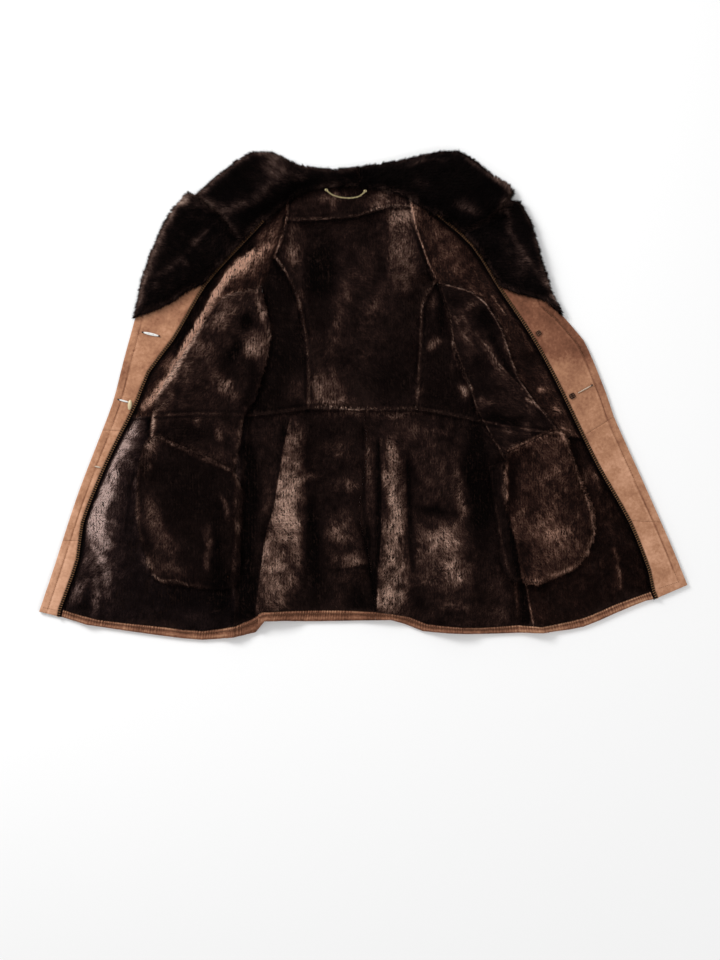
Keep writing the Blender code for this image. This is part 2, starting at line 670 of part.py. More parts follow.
def make_hanger(materials):
    """The hanging chain across the neck and the ring at each end."""
    path = [(x, y, HANGER_HEIGHT) for x, y in smooth(HANGER_PATH, 5)]
    wire("hanger_chain", path, HANGER_RADIUS, materials["chain"])
    ring, thickness = HANGER_RING_SIZE
    for name, (x, y) in HANGER_RINGS.items():
        turns = [2 * math.pi * i / RING_SIDES for i in range(RING_SIDES)]
        circle = [(x + ring * math.cos(t), y + ring * math.sin(t), HANGER_HEIGHT) for t in turns]
        wire(name, circle, thickness, materials["chain"], closed=True)


def centre_on_origin():
    """Move every piece so that the coat's box stands centred on the origin."""
    corners = []
    pieces = [o for o in bpy.context.scene.objects if o.type in {"MESH", "CURVE"}]
    for piece in pieces:
        if piece.type == "MESH":
            corners += [v.co for v in piece.data.vertices]
    low = Vector([min(c[i] for c in corners) for i in range(3)])
    high = Vector([max(c[i] for c in corners) for i in range(3)])
    shift = Vector((-(low.x + high.x) / 2, -(low.y + high.y) / 2, -low.z))
    for piece in pieces:
        piece.location = shift


def main():
    for piece in list(bpy.data.objects):
        bpy.data.objects.remove(piece, do_unlink=True)
    materials = {
        "inner_fur": clear_material("inner_fur", (0.045, 0.025, 0.019), 0.9),
        "collar_fur": clear_material("collar_fur", (0.014, 0.009, 0.008), 0.95),
        "suede": clear_material("suede", (0.33, 0.17, 0.10), 0.9),
        "braid": clear_material("braid", (0.08, 0.055, 0.035), 0.8),
        "binding": clear_material("binding", (0.62, 0.60, 0.57), 0.5),
        "thread": clear_material("thread", (0.06, 0.04, 0.03), 0.8),
        "button": clear_material("button", (0.66, 0.60, 0.47), 0.35),
        "chain": clear_material("chain", (0.62, 0.54, 0.32), 0.35, 1.0),
    }
    make_back(materials)
    for side, table in FRONTS.items():
        make_front(side, table, materials)
        make_sleeve(side, SLEEVES[side], materials)
        make_pocket(side, materials)
    make_closures(materials)
    make_hanger(materials)
    centre_on_origin()


main()
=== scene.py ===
# %% [markdown]
# # A shearling coat, laid open
#
# A woman's waist-seamed shearling coat lies open on a pale floor with its fur side up. Every cut
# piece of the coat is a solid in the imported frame. This notebook takes those solids one by one and
# gives each its real surface: brown clipped fur inside, longer and nearly black fur on the collar
# and lapels, tan suede on the facings and the hem, and the braid, buttonholes, threads and chain.

# %% Load the frame
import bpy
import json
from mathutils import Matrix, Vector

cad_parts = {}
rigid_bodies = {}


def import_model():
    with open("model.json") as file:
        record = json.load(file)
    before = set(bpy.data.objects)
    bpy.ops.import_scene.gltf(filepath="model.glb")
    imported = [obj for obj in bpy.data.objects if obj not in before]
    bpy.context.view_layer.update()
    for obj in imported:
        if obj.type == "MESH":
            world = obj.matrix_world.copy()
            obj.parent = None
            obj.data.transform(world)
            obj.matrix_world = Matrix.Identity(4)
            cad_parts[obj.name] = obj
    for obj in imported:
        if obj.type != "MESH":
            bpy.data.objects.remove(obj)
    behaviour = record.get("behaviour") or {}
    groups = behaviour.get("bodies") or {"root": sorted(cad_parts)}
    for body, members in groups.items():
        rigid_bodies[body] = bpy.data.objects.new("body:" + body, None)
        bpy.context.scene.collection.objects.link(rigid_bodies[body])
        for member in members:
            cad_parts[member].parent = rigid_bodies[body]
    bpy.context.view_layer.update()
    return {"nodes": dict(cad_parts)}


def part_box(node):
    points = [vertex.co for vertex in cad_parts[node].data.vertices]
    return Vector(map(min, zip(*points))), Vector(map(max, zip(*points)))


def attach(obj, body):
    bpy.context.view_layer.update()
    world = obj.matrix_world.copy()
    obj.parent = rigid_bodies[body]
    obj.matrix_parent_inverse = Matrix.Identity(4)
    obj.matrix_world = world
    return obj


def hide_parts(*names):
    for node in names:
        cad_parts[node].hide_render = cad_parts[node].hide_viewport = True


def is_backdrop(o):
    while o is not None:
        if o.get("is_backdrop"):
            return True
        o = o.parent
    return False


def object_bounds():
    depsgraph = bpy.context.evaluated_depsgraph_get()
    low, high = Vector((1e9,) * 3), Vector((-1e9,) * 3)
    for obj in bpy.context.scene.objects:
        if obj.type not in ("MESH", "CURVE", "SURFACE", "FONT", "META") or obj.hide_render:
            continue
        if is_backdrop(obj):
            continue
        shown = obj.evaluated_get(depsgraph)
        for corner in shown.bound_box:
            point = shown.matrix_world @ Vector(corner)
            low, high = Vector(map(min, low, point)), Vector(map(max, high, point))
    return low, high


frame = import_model()

# %% Modules
import json
import math

import bmesh
import bpy
import numpy as np
from mathutils import Matrix, Vector

MM = 0.001
BODY = "root"


def mesh_of(name, shape):
    """A named mesh made from a bmesh, which is freed."""
    mesh = bpy.data.meshes.new(name)
    shape.to_mesh(mesh)
    shape.free()
    return mesh


def linked(name, data):
    """An object in the scene with this data, at the origin and unscaled."""
    piece = bpy.data.objects.new(name, data)
    bpy.context.scene.collection.objects.link(piece)
    return piece


def on_coat(mesh, materials, node=None):
    """A mesh as a piece of the coat, in the place of a node of the frame if one is named."""
    for material in materials:
        mesh.materials.append(material)
    piece = linked(mesh.name, mesh)
    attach(piece, BODY)
    if node:
        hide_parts(node)
    return piece


print("1 unit =", 1 / MM, "mm, one body:", BODY)

# %% [markdown]
# ## Camera and light
#
# The coat is seen straight from above, from far enough away that its raised parts hardly spread.
# The light is a broad soft lamp from the upper left, low enough to draw the folds and the lie of
# the fur, with a weak lamp opposite and a bright even surround.

# %% Camera
LENS = 50.0
VIEW_HEIGHT = 1.7616                      # metres of floor from the top of the frame to its bottom
VIEW_CENTRE = (-0.006, -0.1526)
camera = linked("camera", bpy.data.cameras.new("camera"))
camera.data.lens = LENS
camera.data.sensor_width = 36.0
distance = VIEW_HEIGHT * LENS / camera.data.sensor_width
camera.location = (*VIEW_CENTRE, distance + 0.008)
bpy.context.scene.camera = camera
print("camera", round(distance, 3), "m above the floor")

# %% Lamps, surround and floor
def lamp(name, place, aim, size, power):
    """A square area lamp at a place, turned towards a point on the floor."""
    light = bpy.data.lights.new(name, "AREA")
    light.size = size
    light.energy = power
    piece = linked(name, light)
    piece.location = place
    piece.rotation_euler = (Vector(aim) - Vector(place)).to_track_quat("-Z", "Y").to_euler()


lamp("key_lamp", (-1.9, 1.7, 1.9), (0, -0.05, 0), 1.1, 75)
lamp("fill_lamp", (1.8, -1.2, 2.4), (0, -0.1, 0), 2.0, 14)
world = bpy.data.worlds.new("surround")
world.use_nodes = True
surround = world.node_tree.nodes["Background"].inputs
surround["Color"].default_value = (1, 1, 1, 1)
surround["Strength"].default_value = 0.62
bpy.context.scene.world = world
bpy.context.scene.view_settings.view_transform = "Standard"

floor_shape = bmesh.new()
bmesh.ops.create_grid(floor_shape, x_segments=2, y_segments=2, size=4)
bmesh.ops.translate(floor_shape, verts=floor_shape.verts, vec=(0, 0, -0.0004))
floor = linked("floor", mesh_of("floor", floor_shape))
floor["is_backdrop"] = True
print("stage ready")

# %% [markdown]
# ## Reading the frame
#
# A node of the frame is a closed wall whose triangles are loose, so a copy of it is merged first.
# The upper rim of a wall is the outline that its maker cut. Where the rims of two nodes run side by
# side there is a seam, so the seams need no points of their own: they are read from the frame.

# %% Merged copies, rims and seams
def merged(node):
    """A node's mesh as a bmesh whose triangles share their corners."""
    shape = bmesh.new()
    shape.from_mesh(frame["nodes"][node].data)
    bmesh.ops.remove_doubles(shape, verts=shape.verts, dist=1e-5)
    shape.normal_update()
    return shape


STEEP = 0.15            # a face whose normal rises less than this belongs to the wall's side
SEAM_REACH = 1.2 * MM   # rims closer than this are sewn together


def upper_rim(node):
    """The points round the top of a node's wall, in order, as an array."""
    shape = merged(node)
    after = {}
    for face in shape.faces:
        if face.normal.z < STEEP:
            continue
        for loop in face.loops:
            other = loop.link_loop_radial_next.face
            if other.normal.z < STEEP:
                after[loop.vert.index] = loop.link_loop_next.vert.index
    place = {v.index: tuple(v.co) for v in shape.verts}
    shape.free()
    start = next(iter(after))
    walk = [start]
    while after[walk[-1]] != start:
        walk.append(after[walk[-1]])
    return np.array([place[i] for i in walk])


rims = {node: upper_rim(node) for node in frame["nodes"] if not node.startswith("hanger")}


def run_of(loop, chosen):
    """The longest run of chosen points of a closed loop, in order."""
    count = len(loop)
    best = []
    for start in range(count):
        if chosen[start] and not chosen[start - 1]:
            run = []
            while len(run) < count and chosen[(start + len(run)) % count]:
                run.append((start + len(run)) % count)
            best = max(best, run, key=len)
    return loop[best] if best else loop[chosen]


def closed(loop):
    """A closed loop in plan, its first point again at its end."""
    return np.vstack([loop, loop[:1]])[:, :2]


def gaps_to(points, line):
    """Distance in plan from each point to a polyline."""
    best = np.full(len(points), np.inf)
    for start, end in zip(line[:-1, :2], line[1:, :2]):
        edge = end - start
        part = np.clip((points[:, :2] - start) @ edge / max(edge @ edge, 1e-12), 0, 1)
        best = np.minimum(best, np.linalg.norm(points[:, :2] - start - part[:, None] * edge, axis=1))
    return best


def seam_between(node, neighbour):
    """The seam line that two nodes share."""
    loop, other = rims[node], rims[neighbour]
    near = np.linalg.norm(loop[:, None, :2] - other[None, :, :2], axis=2).min(axis=1) < SEAM_REACH
    return run_of(loop, near)


print("rims of", len(rims), "nodes")

# %% [markdown]
# ## Soft randomness
#
# Fur, suede and thread are never even. One small function gives smooth random values over the plan
# of the coat: a lattice of random numbers, blended between its corners. The same seed always gives
# the same pattern, so the coat comes out the same each time.

# %% Patchy values
LATTICE = 256


def patchy(plan, size, seed, turn=0.0, stretch=1.0):
    """Smooth values from -1 to 1 that change over about one size; stretched along a direction."""
    grid = np.random.default_rng(seed).uniform(-1, 1, (LATTICE, LATTICE))
    along = plan[:, 0] * np.cos(turn) + plan[:, 1] * np.sin(turn)
    across = plan[:, 1] * np.cos(turn) - plan[:, 0] * np.sin(turn)
    place = np.stack([along / (size * stretch), across / size], axis=1) + LATTICE
    cell = np.floor(place).astype(int)
    part = place - cell
    part = part * part * (3 - 2 * part)
    (i, j), (k, l) = (cell % LATTICE).T, ((cell + 1) % LATTICE).T
    low = grid[i, j] * (1 - part[:, 0]) + grid[k, j] * part[:, 0]
    high = grid[i, l] * (1 - part[:, 0]) + grid[k, l] * part[:, 0]
    return low * (1 - part[:, 1]) + high * part[:, 1]


def two_way(plan, size, seed):
    """Two sets of patchy values, for a shift along x and along y."""
    return np.stack([patchy(plan, size, seed), patchy(plan, size, seed + 1)], axis=1)


print("patchy sample", patchy(np.array([[0.1, 0.2], [0.11, 0.2]]), 0.05, 1).round(3))

# %% [markdown]
# ## Materials
#
# Fur gets its look from thousands of tufts, so its colour depends on two things that each tuft
# carries: "tip", which grows from its root to its end, and a value of painted light and tone: the
# light and shade of the brushed and folded fur painted at that place, with a random mottle of tone.
# One node group turns both into a colour, and serves the brown and the black fur with different ends.

# %% Node helpers
def new_material(name, roughness, shine):
    """A material, its node tree and its Principled shader."""
    material = bpy.data.materials.new(name)
    material.use_nodes = True
    tree = material.node_tree
    shader = tree.nodes["Principled BSDF"]
    shader.inputs["Roughness"].default_value = roughness
    shader.inputs["Specular IOR Level"].default_value = shine
    return material, tree, shader


def add(tree, kind, **settings):
    """A node with some of its properties and inputs set."""
    node = tree.nodes.new(kind)
    for key, value in settings.items():
        if hasattr(node, key):
            setattr(node, key, value)
        else:
            node.inputs[key.replace("_", " ")].default_value = value
    return node


def maths(tree, operation, first, second=None, third=None, clamp=False):
    """A Math node whose inputs are sockets or numbers."""
    node = tree.nodes.new("ShaderNodeMath")
    node.operation = operation
    node.use_clamp = clamp
    for socket, value in zip(node.inputs, (first, second, third)):
        if value is None:
            continue
        if isinstance(value, (int, float)):
            socket.default_value = value
        else:
            tree.links.new(value, socket)
    return node.outputs[0]


def ramp(tree, value, stops):
    """A colour ramp through (position, colour) stops."""
    node = tree.nodes.new("ShaderNodeValToRGB")
    elements = node.color_ramp.elements
    while len(elements) < len(stops):
        elements.new(0.5)
    for element, (position, colour) in zip(elements, stops):
        element.position = position
        element.color = (*colour, 1)
    tree.links.new(value, node.inputs["Fac"])
    return node.outputs["Color"]


def texture_noise(tree, scale, detail=4.0):
    """Noise on the object's own coordinates."""
    place = tree.nodes.new("ShaderNodeTexCoord").outputs["Object"]
    node = add(tree, "ShaderNodeTexNoise", Scale=scale, Detail=detail)
    tree.links.new(place, node.inputs["Vector"])
    return node.outputs["Fac"]


def attribute(tree, name):
    """A value that each point of the mesh carries."""
    node = tree.nodes.new("ShaderNodeAttribute")
    node.attribute_name = name
    return node.outputs["Fac"]


def centred(tree, scale, detail, amount):
    """Noise about zero, times an amount that is a number or a socket."""
    return maths(tree, "MULTIPLY", maths(tree, "SUBTRACT", texture_noise(tree, scale, detail), 0.5), amount)


def dent(tree, shader, height, strength, distance):
    """Bumps the shader's normal by a height."""
    bump = add(tree, "ShaderNodeBump", Strength=strength, Distance=distance)
    tree.links.new(height, bump.inputs["Height"])
    tree.links.new(bump.outputs["Normal"], shader.inputs["Normal"])


# %% Fur materials
def make_pile_group():
    """Node group: the painted light of a tuft, from its tip and its painted light and tone values and a fine
    grain.
    """
    group = bpy.data.node_groups.new("pile_light", "ShaderNodeTree")
    for name, default in (("Root shade", 0.55), ("Grain", 0.25)):
        socket = group.interface.new_socket(name, in_out="INPUT", socket_type="NodeSocketFloat")
        socket.default_value = default
    group.interface.new_socket("Light", in_out="OUTPUT", socket_type="NodeSocketFloat")
    outer = group.nodes.new("NodeGroupInput")
    result = group.nodes.new("NodeGroupOutput")
    keep = maths(group, "SUBTRACT", 1.0, outer.outputs["Root shade"])
    rising = maths(group, "MULTIPLY_ADD", attribute(group, "tip"), outer.outputs["Root shade"], keep)
    lit = maths(group, "MULTIPLY", attribute(group, "nap"), rising)
    grain = centred(group, 420.0, 2.0, outer.outputs["Grain"])
    lit = maths(group, "MULTIPLY", lit, maths(group, "ADD", grain, 1.0), clamp=True)
    group.links.new(lit, result.inputs["Light"])
    return group


pile_group = make_pile_group()
ROOT_SHADE = 0.40
FUR_SHINE = 0.02


def fur_material(name, stops):
    """Fur whose colour runs through stops from painted shade to painted highlight as its painted light rises.
    """
    material, tree, shader = new_material(name, 0.8, FUR_SHINE)
    group = tree.nodes.new("ShaderNodeGroup")
    group.node_tree = pile_group
    group.inputs["Root shade"].default_value = ROOT_SHADE
    tree.links.new(ramp(tree, group.outputs["Light"], stops), shader.inputs["Base Color"])
    return material


# Colours of lit and shaded fur, brown and collar black, from deep painted shade at 0 to painted highlight at
# 1.
FUR_STOPS = [(0.0, (0.0011, 0.0006, 0.0005)), (0.18, (0.0088, 0.0046, 0.0040)),
             (0.36, (0.034, 0.0165, 0.0128)), (0.56, (0.115, 0.063, 0.046)),
             (0.78, (0.31, 0.188, 0.144)), (1.0, (0.60, 0.395, 0.305))]
COLLAR_STOPS = [(0.0, (0.0008, 0.0006, 0.0006)), (0.15, (0.0052, 0.0032, 0.0030)),
                (0.32, (0.025, 0.0138, 0.0118)), (0.55, (0.095, 0.056, 0.045)),
                (0.80, (0.23, 0.148, 0.118)), (1.0, (0.42, 0.30, 0.24))]


def tinted(stops, tint):
    """The same stops with each colour multiplied by a tint."""
    return [(place, [c * t for c, t in zip(colour, tint)]) for place, colour in stops]


inner_fur = fur_material("inner_fur", FUR_STOPS)
cool_fur = fur_material("cool_fur", tinted(FUR_STOPS, (0.96, 1.06, 1.22)))
warm_fur = fur_material("warm_fur", tinted(FUR_STOPS, (1.06, 0.96, 0.90)))
collar_fur = fur_material("collar_fur", COLLAR_STOPS)


def hide_material(name, colour):
    """The skin that the fur grows from, seen only between the tufts."""
    material, tree, shader = new_material(name, 0.9, FUR_SHINE)
    stops = [(0.3, [c * 0.6 for c in colour]), (0.7, [c * 1.5 for c in colour])]
    tree.links.new(ramp(tree, texture_noise(tree, 90.0), stops), shader.inputs["Base Color"])
    dent(tree, shader, texture_noise(tree, 350.0), 0.5, 0.002)
    return material


fur_root = hide_material("fur_root", (0.010, 0.0052, 0.0042))
collar_root = hide_material("collar_root", (0.0030, 0.0020, 0.0018))
print("fur materials:", inner_fur.name, collar_fur.name)

# %% Suede materials
def suede_material(name, stops, cloud=0.22):
    """Napped suede: its tone attribute with cloudy blotches, a fine napped grain, and painted shade with a
    dent along its sewn grooves.
    """
    material, tree, shader = new_material(name, 0.95, 0.08)
    blotch = centred(tree, 30.0, 5.0, 2.4 * cloud)
    grain = centred(tree, 210.0, 5.0, 1.8 * cloud)
    tone = maths(tree, "ADD", maths(tree, "ADD", attribute(tree, "tone"), blotch), grain)
    # The sewn groove darkens the tone with painted shade.
    tone = maths(tree, "MULTIPLY_ADD", attribute(tree, "groove"), -0.45, tone, clamp=True)
    tree.links.new(ramp(tree, tone, stops), shader.inputs["Base Color"])
    height = maths(tree, "MULTIPLY_ADD", attribute(tree, "groove"), -1.2, texture_noise(tree, 800.0, 6.0))
    dent(tree, shader, height, 0.4, 0.0008)
    shader.inputs["Sheen Weight"].default_value = 0.06
    shader.inputs["Sheen Roughness"].default_value = 0.6
    shader.inputs["Sheen Tint"].default_value = (0.95, 0.8, 0.66, 1)
    return material


SUEDE_STOPS = [(0.0, (0.075, 0.027, 0.014)), (0.25, (0.20, 0.080, 0.045)),
               (0.5, (0.385, 0.188, 0.106)), (0.75, (0.60, 0.325, 0.205)), (1.0, (0.80, 0.50, 0.35))]
suede = suede_material("suede", SUEDE_STOPS)
suede_outside = suede_material("suede_outside", tinted(SUEDE_STOPS, (0.85, 0.85, 0.85)))
hem_suede = suede_material("hem_suede", tinted(SUEDE_STOPS, (0.95, 1.0, 1.02)), 0.32)
print("suede materials ready")

# %% Thread, braid and metal materials
def plain_fibre(name, colour, roughness=0.6, scale=600.0, metallic=0.0, spread=0.5, shine=0.08):
    """A fine grain of lighter and darker shades of one colour, by spread, slightly bumped."""
    material, tree, shader = new_material(name, roughness, shine)
    stops = [(0.25, [c * (1 - spread) for c in colour]), (0.75, [min(c * (1 + spread), 1) for c in colour])]
    tree.links.new(ramp(tree, texture_noise(tree, scale), stops), shader.inputs["Base Color"])
    shader.inputs["Metallic"].default_value = metallic
    dent(tree, shader, texture_noise(tree, scale * 1.7), 0.3, 0.0004)
    return material


stitch_thread = plain_fibre("stitch_thread", (0.2, 0.1, 0.055))
braid_dark = plain_fibre("braid_dark", (0.008, 0.005, 0.004), 0.9)
braid_gold = plain_fibre("braid_gold", (0.30, 0.145, 0.062), 0.8)
button_thread = plain_fibre("button_thread", (0.022, 0.011, 0.008))
thread_pad = plain_fibre("thread_pad", (0.13, 0.062, 0.036), 0.9)
binding_silk = plain_fibre("binding_silk", (0.72, 0.71, 0.69), 0.4, spread=0.15, shine=0.4)
dull_silk = plain_fibre("dull_silk", (0.50, 0.40, 0.31), spread=0.3)
# A dark colour used as painted shade in the buttonhole slits.
slit_dark = plain_fibre("slit_dark", (0.05, 0.035, 0.03))
horn = plain_fibre("horn", (0.56, 0.46, 0.28), 0.3, 150.0, spread=0.15, shine=0.5)
gilt = plain_fibre("gilt", (0.60, 0.50, 0.27), 0.38, 200.0, metallic=0.8, spread=0.2, shine=0.5)
floor_paper, _, floor_shader = new_material("floor_paper", 0.9, 0.0)
floor_shader.inputs["Base Color"].default_value = (0.93, 0.93, 0.93, 1)
floor.data.materials.append(floor_paper)
print("trim materials ready")

# %% [markdown]
# ## The lie of the fur, painted as light and shade
#
# Shearling shows where it has been brushed and how it is folded: ridges and rolled edges throw back
# light, furrows and the sides of folds stay dark, and every seam is a thin pale line beside a dark
# one. That light and shade is painted into the colour of the fur, from 0 for black to 1 for the
# palest fur, with a random mottle of tone. Three charts give it, in millimetres of the laid coat:
# soft patches, painted strokes along creases and rolled edges, and the seams, whose lines come from
# the frame.

# %% Patches of painted light and shade on the fur
PATCHES = [
    # x, y, half width, half height, turn in degrees, lift of the painted light (painted shade below zero)
    # right chest and shoulder
    (-226, 242, 36, 17, 42, 0.42), (-196, 262, 26, 16, 40, 0.2), (-170, 288, 22, 24, 50, 0.2),
    (-205, 222, 24, 16, 40, 0.08), (-350, 62, 24, 10, 50, 0.2), (-356, 30, 20, 10, 48, 0.22),
    # right sleeve
    (-258, 138, 22, 13, 40, 0.22), (-232, 165, 18, 12, 0, 0.04), (-216, 136, 9, 11, 0, -0.34),
    (-187, 152, 7, 24, 12, 0.28), (-173, 118, 7, 14, 0, 0.26), (-203, 94, 20, 20, 30, 0.34),
    (-236, 82, 12, 24, -20, -0.26), (-252, 20, 26, 15, -34, 0.24), (-310, -46, 5, 14, 0, 0.22),
    (-264, -72, 8, 8, 0, 0.2), (-320, 60, 24, 40, -28, 0.06), (-300, -70, 50, 16, -10, -0.1),
    (-205, 20, 12, 60, -6, -0.12), (-340, 10, 8, 40, -8, -0.12), (-280, 70, 20, 24, -20, 0.08),
    # right front skirt
    (-428, -66, 12, 34, -28, 0.34), (-452, -112, 13, 34, -26, 0.36), (-474, -166, 16, 36, -22, 0.42),
    (-487, -218, 18, 34, -14, 0.4), (-500, -224, 5, 10, 0, 0.26), (-484, -272, 16, 26, -8, 0.18),
    (-474, -322, 9, 46, 4, 0.2), (-536, -340, 5, 24, -30, 0.28), (-508, -350, 6, 22, -12, -0.08),
    (-527, -362, 11, 26, -30, 0.26), (-492, -366, 9, 30, 0, 0.2), (-470, -270, 34, 90, -4, 0.09),
    (-520, -388, 24, 5, 4, -0.12), (-412, -190, 6, 70, 3, 0.12), (-432, -300, 24, 40, 0, -0.04),
    (-330, -372, 60, 20, 4, -0.08), (-262, -330, 16, 80, 0, -0.14), (-240, -386, 14, 30, 0, -0.06),
    # right pocket
    (-386, -88, 12, 16, -30, 0.3), (-394, -126, 7, 28, 0, 0.2), (-380, -222, 13, 34, 10, 0.24),
    (-360, -272, 18, 24, 0, 0.2), (-382, -308, 18, 15, 0, 0.26), (-344, -314, 18, 16, 0, 0.16),
    (-281, -262, 8, 26, 0, 0.26), (-284, -302, 7, 14, 0, 0.18), (-254, -198, 5, 16, 10, 0.26),
    (-300, -180, 46, 44, 0, -0.05), (-250, -270, 10, 60, 0, 0.05),
    # back skirt
    (-122, -74, 18, 20, 10, 0.16), (-134, -120, 20, 34, 8, 0.24), (-138, -172, 26, 36, 8, 0.3),
    (-144, -236, 28, 42, 8, 0.32), (-122, -262, 8, 40, 3, 0.24), (-160, -312, 26, 46, 8, 0.34),
    (-156, -376, 28, 24, 4, 0.22), (-128, -338, 7, 12, 10, 0.22), (-92, -262, 13, 62, 0, -0.16),
    (-84, -350, 22, 40, 0, -0.1), (-46, -98, 14, 12, -20, 0.16), (-30, -160, 20, 10, -24, 0.2),
    (-98, -150, 12, 7, 0, 0.18), (-40, -240, 24, 26, -10, 0.28), (-22, -300, 30, 12, 8, 0.26),
    (-40, -332, 20, 9, 0, 0.08), (10, -140, 7, 60, 0, 0.12), (54, -96, 9, 26, 0, 0.26),
    (55, -160, 14, 44, 0, 0.3), (56, -236, 17, 44, 0, 0.34), (56, -312, 22, 44, 0, 0.42),
    (52, -372, 26, 24, 0, 0.44), (30, -28, 74, 8, 0, 0.24), (100, -66, 36, 16, -10, 0.16),
    (132, -140, 30, 40, 0, 0.1), (128, -208, 34, 8, -4, -0.16), (122, -262, 28, 26, 0, 0.24),
    (166, -252, 24, 24, 0, 0.28), (166, -314, 24, 30, 0, 0.26), (100, -372, 20, 20, 0, -0.12),
    (172, -386, 22, 9, 0, 0.18), (176, -176, 9, 40, 4, 0.22), (212, -150, 20, 90, 3, -0.32),
    (250, -370, 20, 40, 0, 0.04), (-6, -372, 22, 24, 0, -0.12), (130, -320, 44, 54, 0, 0.12),
    # left pocket
    (268, -150, 12, 44, 6, -0.16), (345, -150, 24, 24, 0, 0.1), (344, -252, 42, 32, 0, 0.12),
    (290, -214, 14, 8, 30, 0.18), (284, -290, 16, 34, 12, -0.1), (256, -166, 5, 34, 4, 0.32),
    # left front skirt
    (410, -148, 7, 14, 10, 0.14), (432, -156, 6, 14, 10, 0.14), (466, -330, 12, 30, 0, 0.08),
    (446, -190, 20, 80, 22, 0.08),
    # left chest
    (92, 340, 12, 24, 10, 0.24), (160, 250, 24, 50, 40, 0.05), (325, 6, 8, 7, 0, 0.26),
    (352, -24, 8, 8, 0, 0.12), (300, 60, 14, 50, 30, -0.1), (264, 104, 12, 22, 20, 0.08),
    # left sleeve
    (196, 166, 12, 14, -40, 0.16), (224, 142, 18, 22, 30, -0.18), (166, 176, 14, 12, 0, -0.1),
    (212, 36, 20, 40, 20, -0.08), (224, -12, 14, 6, 0, 0.3), (256, -42, 28, 9, -4, -0.24),
    (262, -60, 14, 8, -24, 0.18), (296, -60, 10, 10, 0, 0.14), (300, -30, 16, 12, 30, 0.06),
    (186, 110, 12, 44, 14, 0.12), (246, 60, 9, 50, 30, 0.1),
    # side backs
    (126, 172, 10, 18, 0, 0.16), (132, 100, 13, 9, 0, 0.38), (161, 50, 9, 12, 0, 0.16),
    (188, 12, 11, 13, 20, 0.46), (145, 150, 5, 26, 0, -0.2), (108, 4, 6, 18, 0, 0.22),
    (-120, 176, 8, 26, -10, 0.2), (-122, 12, 22, 30, 0, 0.12), (-165, 206, 8, 7, 0, 0.1),
    (-100, -10, 8, 10, 0, 0.16),
    # centre back
    (-74, 230, 24, 54, 0, -0.22), (-126, 298, 16, 36, 8, 0.12), (-126, 252, 13, 24, 6, 0.18),
    (-86, 278, 7, 6, 0, 0.14), (-40, 168, 12, 46, -14, 0.14), (-56, 96, 13, 44, -10, 0.09),
    (70, 284, 30, 56, 0, 0.17), (62, 330, 34, 15, 8, 0.15), (66, 230, 22, 38, 24, 0.14),
    (20, 210, 30, 60, 10, 0.05), (34, 250, 9, 50, -16, -0.08), (18, 156, 11, 26, -8, 0.12),
    (58, 30, 42, 30, 0, -0.1), (-64, 14, 26, 28, 0, 0.2), (-46, -10, 34, 9, 0, 0.18),
    (-86, 18, 6, 34, 0, 0.12),
    # yoke
    (-62, 362, 22, 7, 4, 0.36), (-52, 350, 6, 10, 0, 0.26), (46, 368, 24, 9, 0, 0.2),
    (34, 351, 24, 6, 8, 0.26), (-96, 346, 10, 14, 30, 0.08),
    # collar and lapels
    (-162, 420, 16, 22, 20, 0.2), (-118, 404, 24, 10, -6, 0.12), (-230, 392, 40, 22, 35, -0.04),
    (-290, 348, 20, 14, 0, 0.16), (-324, 360, 15, 11, 30, 0.28), (-330, 241, 6, 5, 0, 0.22),
    (-362, 226, 14, 6, 30, 0.12), (-376, 200, 10, 6, 20, 0.12), (-310, 280, 9, 10, 30, 0.16),
    (186, 350, 14, 12, -20, 0.16), (206, 338, 12, 6, -20, 0.12), (112, 428, 46, 6, 8, 0.12),
    (106, 390, 12, 10, 0, 0.08), (250, 392, 16, 8, -32, 0.26), (256, 354, 9, 10, 0, 0.22),
    (278, 250, 18, 34, 20, 0.12), (262, 384, 8, 14, 0, 0.14),
]
